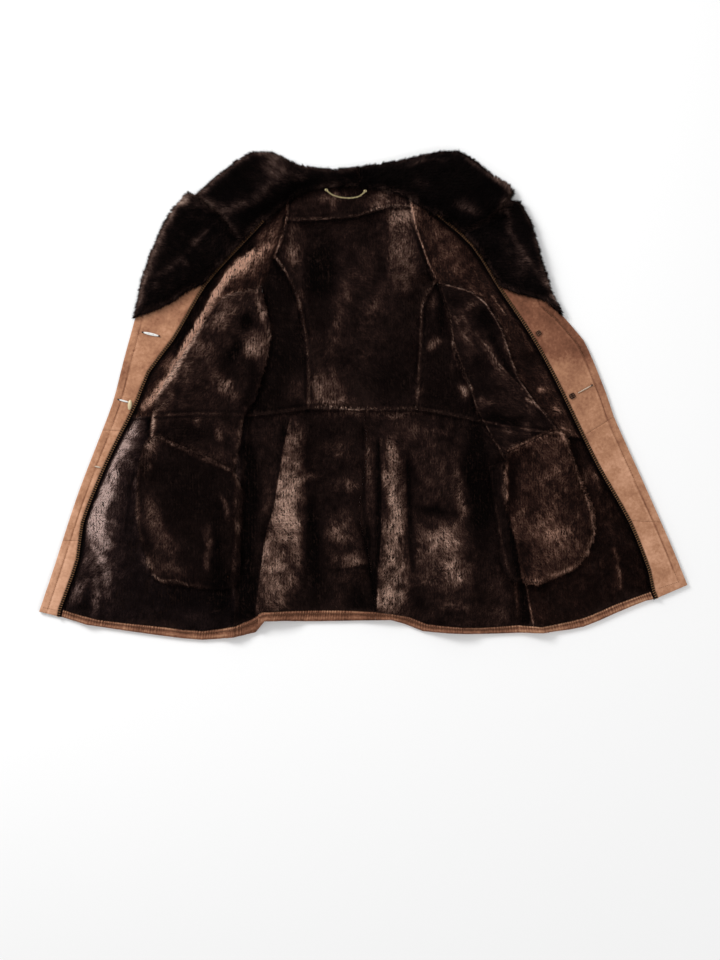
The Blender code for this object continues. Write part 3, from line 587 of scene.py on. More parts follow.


# %% Strokes of painted highlight and shade along creases and rolled edges
STROKES = [
    # half width, lift of the painted light (painted shade below zero), path
    (9, 1.05, [(-215, 256), (-246, 226), (-264, 202), (-283, 172), (-302, 136), (-314, 112), (-330, 84)]),
    (7, 0.95, [(-314, 112), (-330, 84), (-347, 50), (-366, 24), (-384, 0), (-402, -18)]),
    (22, 0.14, [(-225, 215), (-250, 175), (-272, 130), (-296, 90), (-322, 40), (-352, -5)]),
    (1.7, 0.6, [(-384.5, -29), (-387, -72)]),
    (3.2, 0.34, [(-386, -70), (-350, -86), (-300, -111), (-246, -134)]),
    (30, 0.26, [(-430, -60), (-452, -130), (-478, -230), (-492, -300)]),
    (4, 0.45, [(-380, -28), (-385, -58)]),
    (4, -0.4, [(-393, -42), (-396, -84)]),
    (3, 0.3, [(-262, 181), (-240, 190), (-215, 194), (-194, 191)]),
    (2.5, 0.24, [(-194, 196), (-186, 216), (-174, 238)]),
    (3, -0.16, [(-418, -128), (-427, -170), (-431, -205), (-436, -244)]),
    (6, 0.3, [(-232, -110), (-228, -150), (-232, -200), (-230, -240)]),
    (4.5, 0.24, [(-230, -240), (-235, -300), (-238, -350), (-235, -388)]),
    (14, -0.42, [(-212, -100), (-205, -180), (-212, -260), (-220, -330), (-222, -392)]),
    (5, 0.16, [(-216, -20), (-225, -60), (-229, -92)]),
    (1.6, 0.6, [(-388, -326), (-370, -337), (-342, -337), (-322, -345)]),
    (4, 0.18, [(-376, -74), (-300, -101), (-242, -134)]),
    (2.5, 0.22, [(-183, -296), (-192, -336), (-197, -386)]),
    (1.8, -0.36, [(-62, -319), (-24, -316), (4, -310)]),
    (3, -0.16, [(0, -50), (1, -200), (6, -280)]),
    (7, -0.34, [(4, -240), (14, -300), (20, -350), (22, -398)]),
    (6, -0.26, [(29, -96), (28, -200), (27, -300)]),
    (5, -0.2, [(82, -120), (86, -240), (92, -320)]),
    (2, 0.6, [(10, -98), (10, -101)]),
    (3, 0.26, [(26, -346), (26, -390)]),
    (2.5, 0.26, [(232, -128), (240, -190), (252, -260), (261, -308), (272, -331)]),
    (4, -0.36, [(262, -196), (274, -276), (283, -330)]),
    (3, 0.16, [(279, -342), (282, -404)]),
    (8, -0.46, [(294, -350), (298, -410)]),
    (1.8, 0.55, [(298, -344), (304, -380), (312, -426)]),
    (4, 0.2, [(255, -98), (300, -81), (355, -63)]),
    (3.5, 0.34, [(359, -64), (384, -120), (404, -175), (417, -214), (421, -250), (410, -288)]),
    (4.5, 0.28, [(410, -288), (384, -312), (340, -332), (298, -345)]),
    (2, -0.18, [(300, -216), (322, -199)]),
    (2.5, 0.24, [(435, -300), (440, -340)]),
    (3, 0.28, [(461, -280), (470, -318), (472, -352)]),
    (2, 0.18, [(454, -344), (461, -372)]),
    (2, 0.28, [(364, -58), (385, -65), (398, -76)]),
    (3, 0.24, [(130, 207), (160, 203), (195, 198), (216, 188)]),
    (1.9, 0.44, [(204, 191), (224, 171), (235, 153), (251, 137)]),
    (1.9, 0.46, [(234, 189), (249, 168), (261, 150)]),
    (5, 0.22, [(260, 92), (275, 60), (286, 34)]),
    (6, -0.3, [(233, 112), (245, 88), (262, 54), (282, 28)]),
    (2.6, 0.72, [(301, -5), (319, -18), (336, -33)]),
    (2.2, 0.26, [(150, 166), (158, 128), (163, 98)]),
    (2.6, 0.46, [(163, 98), (168, 70), (185, 36), (198, 15)]),
    (1.8, 0.3, [(203, -5), (208, -35), (225, -65), (250, -95)]),
    (2.2, 0.32, [(206, 114), (226, 90), (246, 60), (270, 36), (292, 12)]),
    (2, 0.14, [(168, 146), (176, 120), (196, 98), (216, 70)]),
    (2, 0.14, [(182, 148), (196, 118), (222, 84), (238, 60)]),
    (2.5, 0.36, [(-160, 252), (-146, 232), (-131, 212)]),
    (3, 0.24, [(128, 208), (113, 192), (107, 168)]),
    (1.4, 0.34, [(-78, -18), (-40, -21), (-5, -23)]),
    (7, 0.2, [(-300, 371), (-270, 399), (-240, 424), (-206, 442), (-180, 446), (-158, 437)]),
    (9, 0.26, [(-252, 338), (-226, 347), (-200, 356), (-176, 378), (-156, 396), (-146, 412)]),
    (8, 0.34, [(-332, 362), (-346, 338), (-363, 308), (-378, 270), (-392, 238), (-404, 200), (-409, 172)]),
    (4, 0.22, [(-284, 302), (-310, 278), (-330, 256), (-352, 237)]),
    (5, 0.24, [(190, 434), (215, 415), (240, 400), (262, 384), (270, 371)]),
    (6, 0.26, [(261, 336), (268, 300), (285, 270), (306, 240), (330, 210), (352, 175)]),
    (4, 0.14, [(312, 326), (319, 288), (322, 250), (336, 214), (356, 168)]),
    (14, -0.08, [(-215, 325), (-170, 352), (-130, 374), (-90, 384)]),
]
# Each edge paints a highlight on one side of a fold and shade on the other.
EDGES = [
    # half width and lift on the path's right hand, half width and lift on its left hand, path
    (6, -0.16, 2.6, 0.5, [(85, 360), (89, 338), (94, 315), (106, 279), (122, 237), (136, 210)]),
    (5, -0.12, 2.2, 0.32, [(139, 208), (158, 150), (165, 96), (196, 14), (208, -24), (256, -112)]),
    (2.2, 0.42, 5, -0.12,
     [(150, 206), (198, 192), (226, 170), (253, 124), (283, 36), (316, -12), (352, -56)]),
    (5, -0.1, 2, 0.3, [(-142, 322), (-147, 300), (-161, 262)]),
    (12, -0.34, 16, 0.14,
     [(-138, -56), (-150, -120), (-163, -200), (-180, -262), (-190, -330), (-197, -392)]),
    (9, 0.14, 12, -0.22, [(-218, -104), (-216, -180), (-222, -260), (-226, -330), (-228, -392)]),
    (14, -0.6, 6, 0.2,
     [(-206, 268), (-231, 246), (-256, 220), (-276, 190), (-297, 150), (-315, 121), (-335, 84)]),
    (7, -0.22, 6, 0.12, [(30, -80), (33, -160), (32, -260), (26, -330), (24, -392)]),
    (14, 0.02, 12, -0.08, [(78, -100), (80, -200), (84, -300), (82, -360)]),
    (16, 0.02, 14, -0.08, [(-104, -60), (-106, -130), (-103, -200), (-106, -300)]),
]
SEAM_LIFTS = [
    # panels, half width of the painted highlight along the seam, lift
    ("back_yoke", "back_upper", 1.5, 0.42),
    ("back_upper", "side_back_right", 3.2, 0.2),
    ("back_upper", "side_back_left", 3.2, 0.24),
    ("back_upper", "skirt_back_right", 1.4, 0.34),
    ("back_upper", "skirt_back_left", 1.4, 0.36),
    ("side_back_left", "skirt_back_left", 1.6, 0.26),
    ("side_back_right", "skirt_back_right", 1.6, 0.2),
    ("back_upper", "front_left", 2.4, 0.16),
    ("back_yoke", "front_left", 2.4, 0.16),
    ("back_upper", "front_right", 2.4, 0.14),
    ("back_yoke", "front_right", 2.4, 0.2),
    ("front_right", "skirt_front_right", 1.6, 0.12),
    ("front_left", "skirt_front_left", 1.6, 0.12),
]
# Gains of the painted light in the patches and along the seams.
PATCH_GAIN = 1.55
PATCH_STRAY = 6 * MM        # how far a patch's outline wanders
SEAM_GAIN = 1.5
# Beside each seam runs a furrow of painted shade: its distance from the seam, half width and strength.
FURROW_AWAY = 5.0           # millimetres from a seam to the dark furrow beside it
FURROW_HALF = 2.2
FURROW_SHADE = 0.14
MOTTLE = ((0.034, 0.20), (0.013, 0.26), (0.0056, 0.26))     # size in metres, share of the painted light, as a random mottle of tone
seam_lines = [(seam_between(a, b), half, lift) for a, b, half, lift in SEAM_LIFTS]
print(len(PATCHES), "patches,", len(STROKES), "strokes,", sum(len(s[0]) > 1 for s in seam_lines), "seams")


# %% Painted light and tone at a place
def near(plan, line, reach):
    """Which points of the plan lie within reach of a line's box."""
    return np.all((plan > line.min(axis=0) - reach) & (plan < line.max(axis=0) + reach), axis=1)


def stroke(nap, plan, line, half, lift, seed):
    """Adds painted light along a line, or painted shade where the lift is below zero, softly across it and
    unevenly along it.
    """
    chosen = np.flatnonzero(near(plan, line, 3 * half))
    if len(chosen):
        gap = gaps_to(plan[chosen], line)
        nap[chosen] += lift * np.exp(-(gap / half) ** 2) * (0.85 + 0.35 * patchy(plan[chosen], 0.009, seed))


def on_left(points, line):
    """Which points lie to the left of a line, seen along it."""
    best, left = np.full(len(points), np.inf), np.zeros(len(points), bool)
    for start, end in zip(line[:-1], line[1:]):
        edge = end - start
        away = points - start
        part = np.clip(away @ edge / (edge @ edge), 0, 1)
        gap = np.linalg.norm(away - part[:, None] * edge, axis=1)
        closer = gap < best
        best[closer] = gap[closer]
        left[closer] = (edge[0] * away[closer, 1] - edge[1] * away[closer, 0]) > 0
    return left


def painted_light_at(plan, base, seed, rim=None, rim_highlight=0.0, rim_half=4.0):
    """The painted light and shade of the fur at each point of the plan, about 0 to 1, with a random mottle of
    tone.
    """
    nap = np.full(len(plan), float(base))
    stray = two_way(plan, 0.03, 8) * PATCH_STRAY + two_way(plan, 0.012, 18) * PATCH_STRAY / 2
    for x, y, half_x, half_y, turn, lift in PATCHES:
        reach = 2.6 * max(half_x, half_y) * MM
        chosen = np.flatnonzero(near(plan, np.array([[x, y]]) * MM, reach))
        if not len(chosen):
            continue
        away = plan[chosen] + stray[chosen] - np.array([x, y]) * MM
        angle = math.radians(turn)
        u = (away[:, 0] * math.cos(angle) + away[:, 1] * math.sin(angle)) / (half_x * MM)
        v = (away[:, 1] * math.cos(angle) - away[:, 0] * math.sin(angle)) / (half_y * MM)
        nap[chosen] += PATCH_GAIN * lift * np.exp(-((u * u + v * v) ** 1.3) * 0.8)
    for half, lift, path in STROKES:
        stroke(nap, plan, np.array(path) * MM, half * MM, lift, seed)
    for right_half, right_lift, left_half, left_lift, path in EDGES:
        line = np.array(path) * MM
        chosen = np.flatnonzero(near(plan, line, 3 * max(right_half, left_half) * MM))
        if len(chosen):
            gap, left = gaps_to(plan[chosen], line) / MM, on_left(plan[chosen], line)
            half = np.where(left, left_half, right_half)
            nap[chosen] += np.where(left, left_lift, right_lift) * np.exp(-(gap / half) ** 2)
    for line, half, lift in seam_lines:
        if len(line) < 2:
            continue
        line = line[:, :2]
        stroke(nap, plan, line, half * MM, SEAM_GAIN * lift, seed)
        chosen = np.flatnonzero(near(plan, line, 12 * MM))
        gap = gaps_to(plan[chosen], line) / MM
        # Painted shade along the furrow beside each seam.
        nap[chosen] -= FURROW_SHADE * np.exp(-((gap - FURROW_AWAY) / FURROW_HALF) ** 2)
    # A painted highlight along the rim.
    if rim is not None:
        gap = gaps_to(plan, closed(rim))
        nap += rim_highlight * np.exp(-(gap / (rim_half * MM)) ** 2)
    # A random mottle of tone over the painted light.
    mottle = sum(share * patchy(plan, size, seed + 1 + k) for k, (size, share) in enumerate(MOTTLE))
    return np.maximum(nap, 0.03) * np.clip(1 + mottle, 0.3, 2)


print("nap at the right chest's roll:", painted_light_at(np.array([[-0.287, 0.165]]), 0.3, 1).round(2))

# %% [markdown]
# ## Growing fur
#
# A tuft is a narrow blade: one triangle, wide at its root and pointed at its tip. It leaves the skin
# at a low angle, in the direction in which the fur is combed, and bends towards the middle of its
# clump, which gives the crimped look of clipped wool. Along crimps the roots sit deeper, and painted
# shade darkens them.
# A panel has tens of thousands of tufts, so all of them are one joined mesh, made from arrays, and
# they are spread over the skin by area. Nothing is grown where another piece lies on the panel.

# %% Skins
def skin_of(node, top_material, cuts, calm, wave):
    """A node's wall with finer faces, its heights evened out and gently waved."""
    shape = merged(node)
    bmesh.ops.subdivide_edges(shape, edges=shape.edges[:], cuts=cuts, use_grid_fill=True)
    shape.normal_update()
    inner = [v for v in shape.verts if all(f.normal.z > 0.3 for f in v.link_faces)]
    for _ in range(calm):
        bmesh.ops.smooth_vert(shape, verts=inner, factor=0.5, use_axis_x=False, use_axis_y=False,
                              use_axis_z=True)
    if wave:
        plan = np.array([v.co[:2] for v in inner])
        waves = 0.7 * patchy(plan, 0.06, 11) + 0.5 * patchy(plan, 0.025, 12)
        lifts = wave * waves * np.clip(gaps_to(plan, closed(rims[node])) / 0.012, 0, 1)
        for vert, lift in zip(inner, lifts):
            vert.co.z += lift
    shape.normal_update()
    for face in shape.faces:
        face.smooth = abs(face.normal.z) > 0.3
        face.material_index = 0 if face.normal.z > -0.3 else 1
    return on_coat(mesh_of(node + "_skin", shape), (top_material, suede_outside), node)


print("skin tool ready")

# %% What lies on a panel
# How many millimetres under a piece fur still grows, or stops before it where the number is negative.
TUCK = {"facings": -2.5, "lapels": -2.5, "braids": 0.5, "hems": -4.2}
SOFT_TUCK = 2.5
LAYERS = {
    "facings": [f"facing_{part}_{side}" for side in ("right", "left")
                for part in ("upper", "middle", "lower")],
    "braids": ["braid_right", "braid_left"],
    "hems": ["hem_band_front_right", "hem_band_back_right", "hem_band_back_left", "hem_band_front_left"],
    "lapels": ["lapel_right", "lapel_left"],
    "collars": ["collar_right", "collar_left"],
    "sleeves": ["sleeve_under_right", "sleeve_top_right", "sleeve_under_left", "sleeve_top_left"],
    "pocket_unders": ["pocket_under_right", "pocket_under_left"],
    "pocket_bags": ["pocket_bag_right", "pocket_bag_left"],
}


def inside_loop(plan, loop):
    """Which points of the plan lie inside a closed loop, by counting crossings."""
    inside = np.zeros(len(plan), bool)
    for (x0, y0), (x1, y1) in zip(loop, np.roll(loop, -1, axis=0)):
        crosses = (y0 > plan[:, 1]) != (y1 > plan[:, 1])
        if crosses.any():
            inside ^= crosses & (plan[:, 0] < (x1 - x0) * (plan[:, 1] - y0) / (y1 - y0 + 1e-15) + x0)
    return inside


def uncovered(plan, layers):
    """Which points no piece of these layers lies on."""
    free = np.ones(len(plan), bool)
    for layer in layers:
        for node in LAYERS[layer]:
            loop = rims[node][:, :2]
            chosen = np.flatnonzero(free & near(plan, loop, 5 * MM))
            if not len(chosen):
                continue
            tuck = TUCK.get(layer, SOFT_TUCK) * MM
            gap = gaps_to(plan[chosen], closed(loop))
            under = inside_loop(plan[chosen], loop)
            free[chosen[np.where(under, gap, -gap) > tuck]] = False
    return free


print("layers:", ", ".join(LAYERS))


# %% Meshes from arrays
def array_mesh(name, points, corners, starts):
    """A mesh from its points, the point at each face corner, and each face's first corner."""
    mesh = bpy.data.meshes.new(name)
    mesh.vertices.add(len(points))
    mesh.vertices.foreach_set("co", points.ravel())
    mesh.loops.add(len(corners))
    mesh.loops.foreach_set("vertex_index", corners.astype(np.int32))
    mesh.polygons.add(len(starts))
    mesh.polygons.foreach_set("loop_start", starts.astype(np.int32))
    mesh.update(calc_edges=True)
    return mesh


def set_values(mesh, **columns):
    """Stores a value for each point of a mesh under each name."""
    for name, values in columns.items():
        column = mesh.attributes.new(name, "FLOAT", "POINT")
        column.data.foreach_set("value", np.asarray(values, np.float32).ravel())


print("array tools ready")

# %% Tufts
CLUMP = 5.0 * MM
BLACK_GAP = 8.5 * MM        # the shaded gap beside a braid
LUCK = 0.20                 # how much lighter or darker one tuft is than the next
STRAY_SIDE = 0.22           # how far blades turn about their own length
FLOOR_CLEAR = 0.4 * MM
ROOT_DEPTH = 0.5 * MM       # how deep in the skin a blade starts
CRACK_DEPTH = 1.2 * MM      # how much deeper in a crimp


def scatter(mesh, count, seed, steepest):
    """Random places on a mesh's faces that look up enough, with their normals."""
    mesh.calc_loop_triangles()
    corners = np.empty(len(mesh.loop_triangles) * 3, np.int32)
    mesh.loop_triangles.foreach_get("vertices", corners)
    places = np.empty(len(mesh.vertices) * 3)
    mesh.vertices.foreach_get("co", places)
    normals = np.empty(len(mesh.vertices) * 3)
    mesh.vertices.foreach_get("normal", normals)
    corners, places, normals = corners.reshape(-1, 3), places.reshape(-1, 3), normals.reshape(-1, 3)
    a, b, c = (places[corners[:, k]] for k in range(3))
    facing = np.cross(b - a, c - a)
    area = np.linalg.norm(facing, axis=1) / 2
    upward = facing[:, 2] / np.maximum(2 * area, 1e-12)
    weight = np.where(upward > steepest, area, 0)
    draw = np.random.default_rng(seed)
    chosen = draw.choice(len(corners), count, p=weight / weight.sum())
    u, v = draw.random(count), draw.random(count)
    u, v = np.where(u + v > 1, 1 - u, u), np.where(u + v > 1, 1 - v, v)
    w = 1 - u - v
    place, smooth = (w[:, None] * x[corners[chosen, 0]] + u[:, None] * x[corners[chosen, 1]]
                     + v[:, None] * x[corners[chosen, 2]] for x in (places, normals))
    flat = facing[chosen] / (2 * area[chosen, None])
    slope = np.where(upward[chosen, None] > 0.3, smooth, flat)
    return place, slope / np.linalg.norm(slope, axis=1)[:, None], draw


def crack_at(plan, heading, seed, size):
    """How deep in a crimp each point lies, 0 to 1: thin wavy lines that follow the fur."""
    wander = two_way(plan, 0.011, seed + 32) * 0.0022
    line = patchy(plan + wander, size, seed + 30, turn=heading + 0.25, stretch=2.6)
    return np.exp(-(line / 0.20) ** 2) * np.clip(0.75 + 1.1 * patchy(plan, 0.028, seed + 31), 0, 1)


def combed(plan, normal, heading, seed, rise, draw):
    """The direction of each tuft: along the comb, up a little, and towards its clump's middle."""
    angle = heading + 0.7 * patchy(plan, 0.08, seed + 20) + 0.5 * patchy(plan, 0.024, seed + 21)
    comb = np.stack([np.cos(angle), np.sin(angle), np.zeros(len(plan))], axis=1)
    comb -= normal * np.sum(comb * normal, axis=1)[:, None]
    cell = np.floor(plan / CLUMP).astype(int)
    shift = np.random.default_rng(seed + 5).uniform(0.15, 0.85, (LATTICE, LATTICE, 2))
    centre = (cell + shift[cell[:, 0] % LATTICE, cell[:, 1] % LATTICE]) * CLUMP
    toward = np.concatenate([(centre - plan) / CLUMP, np.zeros((len(plan), 1))], axis=1)
    way = rise * normal + comb + 0.5 * toward + 0.20 * draw.normal(size=(len(plan), 3))
    return way / np.linalg.norm(way, axis=1)[:, None]


def grow(skin, material, tuft, heading, seed, *, nap, layers=(), rise=0.34, steepest=0.3, rim=None,
         rim_highlight=0.0, rim_half=4.0, crimp_shade=0.78, crimp_size=0.0038, thin=1.0):
    """A pile of tufts, of a length and a width, on a skin, as one mesh of blades."""
    length, width = tuft
    area = sum(p.area for p in skin.data.polygons if p.normal.z > steepest)
    root, normal, draw = scatter(skin.data, int(area * (DENSITY * thin)), seed, steepest)
    free = uncovered(root[:, :2], layers)
    root, normal = root[free], normal[free]
    plan, count = root[:, :2], len(root)
    way = combed(plan, normal, heading, seed, rise, draw)
    side = np.cross(way, normal) + STRAY_SIDE * draw.normal(size=(count, 3))
    side /= np.linalg.norm(side, axis=1)[:, None]
    crack = crack_at(plan, heading, seed, crimp_size)
    reach = length * (0.75 + 0.5 * draw.random(count))[:, None]
    half = width / 2 * (0.7 + 0.6 * draw.random(count))[:, None]
    foot = root - normal * (ROOT_DEPTH + CRACK_DEPTH * crack)[:, None]
    tip = foot + way * reach
    points = np.stack([foot - side * half, foot + side * half, tip], axis=1).reshape(-1, 3)
    points[:, 2] = np.maximum(points[:, 2], FLOOR_CLEAR)
    luck = LUCK * draw.normal(size=count)
    shades = []
    for place, faint in ((plan + 0.2 * (tip - foot)[:, :2], 1.0), (tip[:, :2], 0.6)):
        shade = painted_light_at(place, nap, seed, rim, rim_highlight, rim_half)
        if "braids" in layers:
            for node in LAYERS["braids"]:
                gap = gaps_to(place, closed(rims[node]))
                shade *= 1 - 0.9 * np.clip(1.6 - gap / BLACK_GAP * 1.6, 0, 1)
        # Painted shade in the crimps, weaker where the painted light is high.
        shaded_crimp = crimp_shade * faint * crack_at(place, heading, seed, crimp_size) * np.clip(1.2 - shade, 0.05, 1)
        shades.append(shade * np.clip(1 - shaded_crimp + luck, 0.1, 2))
    blades = array_mesh(skin.name.replace("_skin", "_pile"), points, np.arange(count * 3),
                        np.arange(0, count * 3, 3))
    set_values(blades, tip=np.tile([0.0, 0.0, 1.0], count),
               nap=np.clip(np.stack([shades[0], shades[0], shades[1]], 1), 0, 1.5))
    return on_coat(blades, [material])


print("tuft tools ready")

# %% [markdown]
# ## The shearling panels
#
# Each panel is a sheet of shearling cut to a flat pattern and laid on the floor or on the panel
# below it. The table gives each one the direction in which its fur lies, in degrees, its painted light
# before the charts, the steepest face that still grows fur, and how much painted highlight its rim
# gets. The rims of the sleeves and the pocket bags are turned edges, so they get a painted highlight.

# %% Cut sizes
def cut_of(node):
    """Width, length and area in metres of the pattern that a panel was cut from."""
    shape = merged(node)
    area = sum(f.calc_area() for f in shape.faces if f.normal.z > STEEP)
    plan = np.array([v.co[:2] for v in shape.verts])
    shape.free()
    best = None
    for turn in np.radians(np.arange(0, 90, 3)):
        spin = np.array([[math.cos(turn), -math.sin(turn)], [math.sin(turn), math.cos(turn)]])
        size = np.ptp(plan @ spin, axis=0)
        if best is None or size.prod() < best.prod():
            best = size
    best = best * max(1.0, area / best.prod()) ** 0.5
    flat = tuple(round(float(side), 3) for side in sorted(best))
    return flat, round(float(min(area, best.prod())), 4)


def lay(node, piles):
    """Prints the flat cut and area of a sheet's node and the number of tufts that grow on it."""
    flat, area = cut_of(node)
    print(node, "flat", flat, "area", area, "tufts", sum(len(pile.data.polygons) for pile in piles))


# %% Panels of inner fur
DENSITY = 1090000         # tufts on a square metre
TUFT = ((0.0062, 0.0016))
ON_SKIRTS = ("hems", "sleeves", "pocket_unders", "pocket_bags")
ON_FRONTS = ("facings", "braids", "lapels", "collars", *ON_SKIRTS)
ON_SLEEVES = ("pocket_unders", "pocket_bags")
PANELS = {
    # node: heading of the fur, painted light, steepest face, rim highlight, half width of the rim, layers on
    # it, fur
    "back_yoke": (-90, 0.27, 0.3, 0, 2, ("collars",), inner_fur),
    "back_upper": (-88, 0.24, 0.3, 0, 2, ("sleeves",), inner_fur),
    "side_back_right": (-84, 0.09, 0.3, 0, 2, ("sleeves",), inner_fur),
    "side_back_left": (-96, 0.16, 0.3, 0, 2, ("sleeves",), inner_fur),
    "skirt_back_right": (-88, 0.25, 0.3, 0, 2, ON_SKIRTS, inner_fur),
    "skirt_back_left": (-92, 0.27, 0.3, 0, 2, ON_SKIRTS, inner_fur),
    "front_right": (-128, 0.30, 0.3, 0, 2, ON_FRONTS, warm_fur),
    "front_left": (-55, 0.38, 0.3, 0, 2, ON_FRONTS, warm_fur),
    "skirt_front_right": (-100, 0.22, 0.3, 0, 2, ON_FRONTS, cool_fur),
    "skirt_front_left": (-80, 0.22, 0.3, 0, 2, ON_FRONTS, warm_fur),
    "sleeve_top_right": (-118, 0.28, -0.3, 0.10, 4, ON_SLEEVES, inner_fur),
    "sleeve_top_left": (-58, 0.25, -0.3, 0.12, 3, ON_SLEEVES, inner_fur),
    "pocket_bag_right": (-90, 0.17, -0.3, 0.16, 4, (), inner_fur),
    "pocket_bag_left": (-84, 0.41, -0.3, 0.14, 5, (), warm_fur),
}
for order, (node, row) in enumerate(PANELS.items()):
    turn, nap, steepest, rim_highlight, rim_half, layers, fur = row
    skin = skin_of(node, fur_root, cuts=2, calm=8, wave=0.0022)
    pile = grow(skin, fur, TUFT, math.radians(turn), 100 + 50 * order, nap=nap, layers=layers,
                steepest=steepest, rim=rims[node] if rim_highlight else None, rim_highlight=rim_highlight, rim_half=rim_half)
    lay(node, [pile])

# %% Hidden layers
for node in ("sleeve_under_right", "sleeve_under_left", "pocket_under_right", "pocket_under_left"):
    skin = skin_of(node, fur_root, cuts=1, calm=4, wave=0.0)
    piles = []
    if node == "pocket_under_left":     # the only one of them that shows
        piles.append(grow(skin, inner_fur, TUFT, math.radians(-95), 900, nap=0.22, layers=("pocket_bags",),
                          steepest=-0.3))
    lay(node, piles)

# %% [markdown]
# ## Collar and lapels
#
# The collar and the lapels are faced with longer, nearly black fur. It is grown in the same way,
# a little longer and less flat, from skins whose rims are rounded, so that the outline turns soft.
# Brown ends show where the rim and the folds catch the light.

# %% Collar and lapels
COLLAR_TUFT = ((0.0085, 0.0019))
COLLAR_PANELS = {
    # node: heading of the fur, painted light, rim highlight
    "collar_right": (150, 0.17, 0.22),
    "collar_left": (40, 0.10, 0.18),
    "lapel_right": (200, 0.17, 0.20),
    "lapel_left": (-30, 0.12, 0.18),
}
for order, (node, (turn, nap, rim_highlight)) in enumerate(COLLAR_PANELS.items()):
    skin = skin_of(node, collar_root, cuts=3, calm=10, wave=0.003)
    pile = grow(skin, collar_fur, COLLAR_TUFT, math.radians(turn), 1000 + 50 * order, nap=nap, rise=0.5,
                steepest=-0.3, rim=rims[node], rim_highlight=rim_highlight, rim_half=5, crimp_shade=0.55, crimp_size=0.0055,
                thin=0.9)
    lay(node, [pile])

# %% [markdown]
# ## Lines along a strip
#
# Braids, facings and the hem band are long narrow strips. Their sewn details run along them, so each
# needs its two long sides. The rim of a strip turns sharply at its four corners. Cut there, its two
# longest parts are the sides.

# %% Sides of a strip
def travelled(line):
    """Distance along a line from its start to each of its points."""
    return np.concatenate([[0], np.cumsum(np.linalg.norm(np.diff(line, axis=0), axis=1))])


def long_sides(node):
    """The two long sides of a strip's rim, running the same way, as arrays of points."""
    loop = rims[node]
    before, after = loop - np.roll(loop, 1, axis=0), np.roll(loop, -1, axis=0) - loop
    turn = np.abs(np.arctan2(before[:, 0] * after[:, 1] - before[:, 1] * after[:, 0],
                             before[:, 0] * after[:, 0] + before[:, 1] * after[:, 1]))
    corners = sorted(np.argsort(turn)[-4:])
    parts = [loop[np.arange(start, end + 1) % len(loop)]
             for start, end in zip(corners, corners[1:] + [corners[0] + len(loop)])]
    parts.sort(key=lambda part: travelled(part)[-1])
    return parts[-1], parts[-2][::-1]


def resampled(line, count):
    """A line's points again, a given number of them, evenly spaced in plan."""
    lengths = travelled(line[:, :2])
    places = np.linspace(0, lengths[-1], count)
    return np.stack([np.interp(places, lengths, line[:, k]) for k in range(line.shape[1])], axis=1)


def spaced(line, step):
    """A line's points again, evenly spaced at about one step."""
    return resampled(line, max(2, round(travelled(line[:, :2])[-1] / step) + 1))


def shifted(line, other, inward):
    """A line moved in plan towards another line by a distance."""
    along = np.gradient(line[:, :2], axis=0)
    across = np.stack([-along[:, 1], along[:, 0]], axis=1)
    across /= np.linalg.norm(across, axis=1)[:, None]
    middle = other[len(other) // 2, :2] - line[len(line) // 2, :2]
    if across[len(line) // 2] @ middle < 0:
        across = -across
    moved = line.copy()
    moved[:, :2] += across * inward
    return moved


# %% Many small things at once
def repeated(name, shape, places, material, node=None):
    """One joined mesh with a copy of a small shape at each place, a row of 4 by 4 matrices."""
    shape.verts.ensure_lookup_table()
    corners = np.array([(*v.co, 1.0) for v in shape.verts])
    faces = [[v.index for v in f.verts] for f in shape.faces]
    shape.free()
    places = np.asarray(places)
    points = np.einsum("nij,vj->nvi", places, corners)[:, :, :3].reshape(-1, 3)
    sizes = np.array([len(f) for f in faces])
    flat = np.concatenate(faces)
    loops = (flat[None, :] + np.arange(len(places))[:, None] * len(corners)).ravel()
    starts = (np.concatenate([[0], np.cumsum(sizes)[:-1]])[None, :]
              + np.arange(len(places))[:, None] * len(flat)).ravel()
    mesh = array_mesh(name, points, loops, starts)
    mesh.shade_smooth()
    return on_coat(mesh, [material], node)


def bead(rounds=1):
    """A small closed ball of radius 1, which places stretch into stitches and threads."""
    shape = bmesh.new()
    bmesh.ops.create_icosphere(shape, subdivisions=rounds, radius=1)
    return shape


def laid(point, along, length, width, height, turn=0.0):
    """A place for a bead of this length, width and height, lying level along a turned direction."""
    up = np.array([0.0, 0.0, 1.0])
    along = np.array([along[0], along[1], 0.0])
    along /= np.linalg.norm(along)
    across = np.cross(up, along)
    ahead = along * math.cos(turn) + across * math.sin(turn)
    across = np.cross(up, ahead)
    place = np.eye(4)
    place[:3, 0], place[:3, 1], place[:3, 2] = ahead * length / 2, across * width / 2, up * height / 2
    place[:3, 3] = point
    return place


def run_of_stitches(line, pitch, length, width, lift):
    """Places for a line of stitches."""
    line = spaced(line, pitch)
    along = np.gradient(line, axis=0)
    return [laid(point + (0, 0, lift), ahead, length, width, width * 0.8)
            for point, ahead in zip(line[1:-1], along[1:-1])]


print("strip tools ready")

# %% [markdown]
# ## Suede facings
#
# The facings are thin strips of tan suede. Their outer edge is turned under and topstitched. Suede
# isn't even: these facings get darker towards the collar and their tone wanders at random, so each
# point carries a tone value, which also holds painted highlights on the turned edge and beside the
# sewn line. A second value, for the groove, is 1 under the sewn line: it darkens the line with
# painted shade and dents it.

# %% Facings
SUEDE_TONES = {"right": [(-400, 0.66), (-300, 0.66), (-100, 0.58), (-40, 0.49), (120, 0.45), (210, 0.42)],
               "left": [(-400, 0.59), (-280, 0.59), (-60, 0.50), (40, 0.39), (110, 0.23), (210, 0.18)]}
STITCH_IN = 13.5            # millimetres from a facing's outer edge to its topstitching
THREAD_LIFT = 0.15 * MM


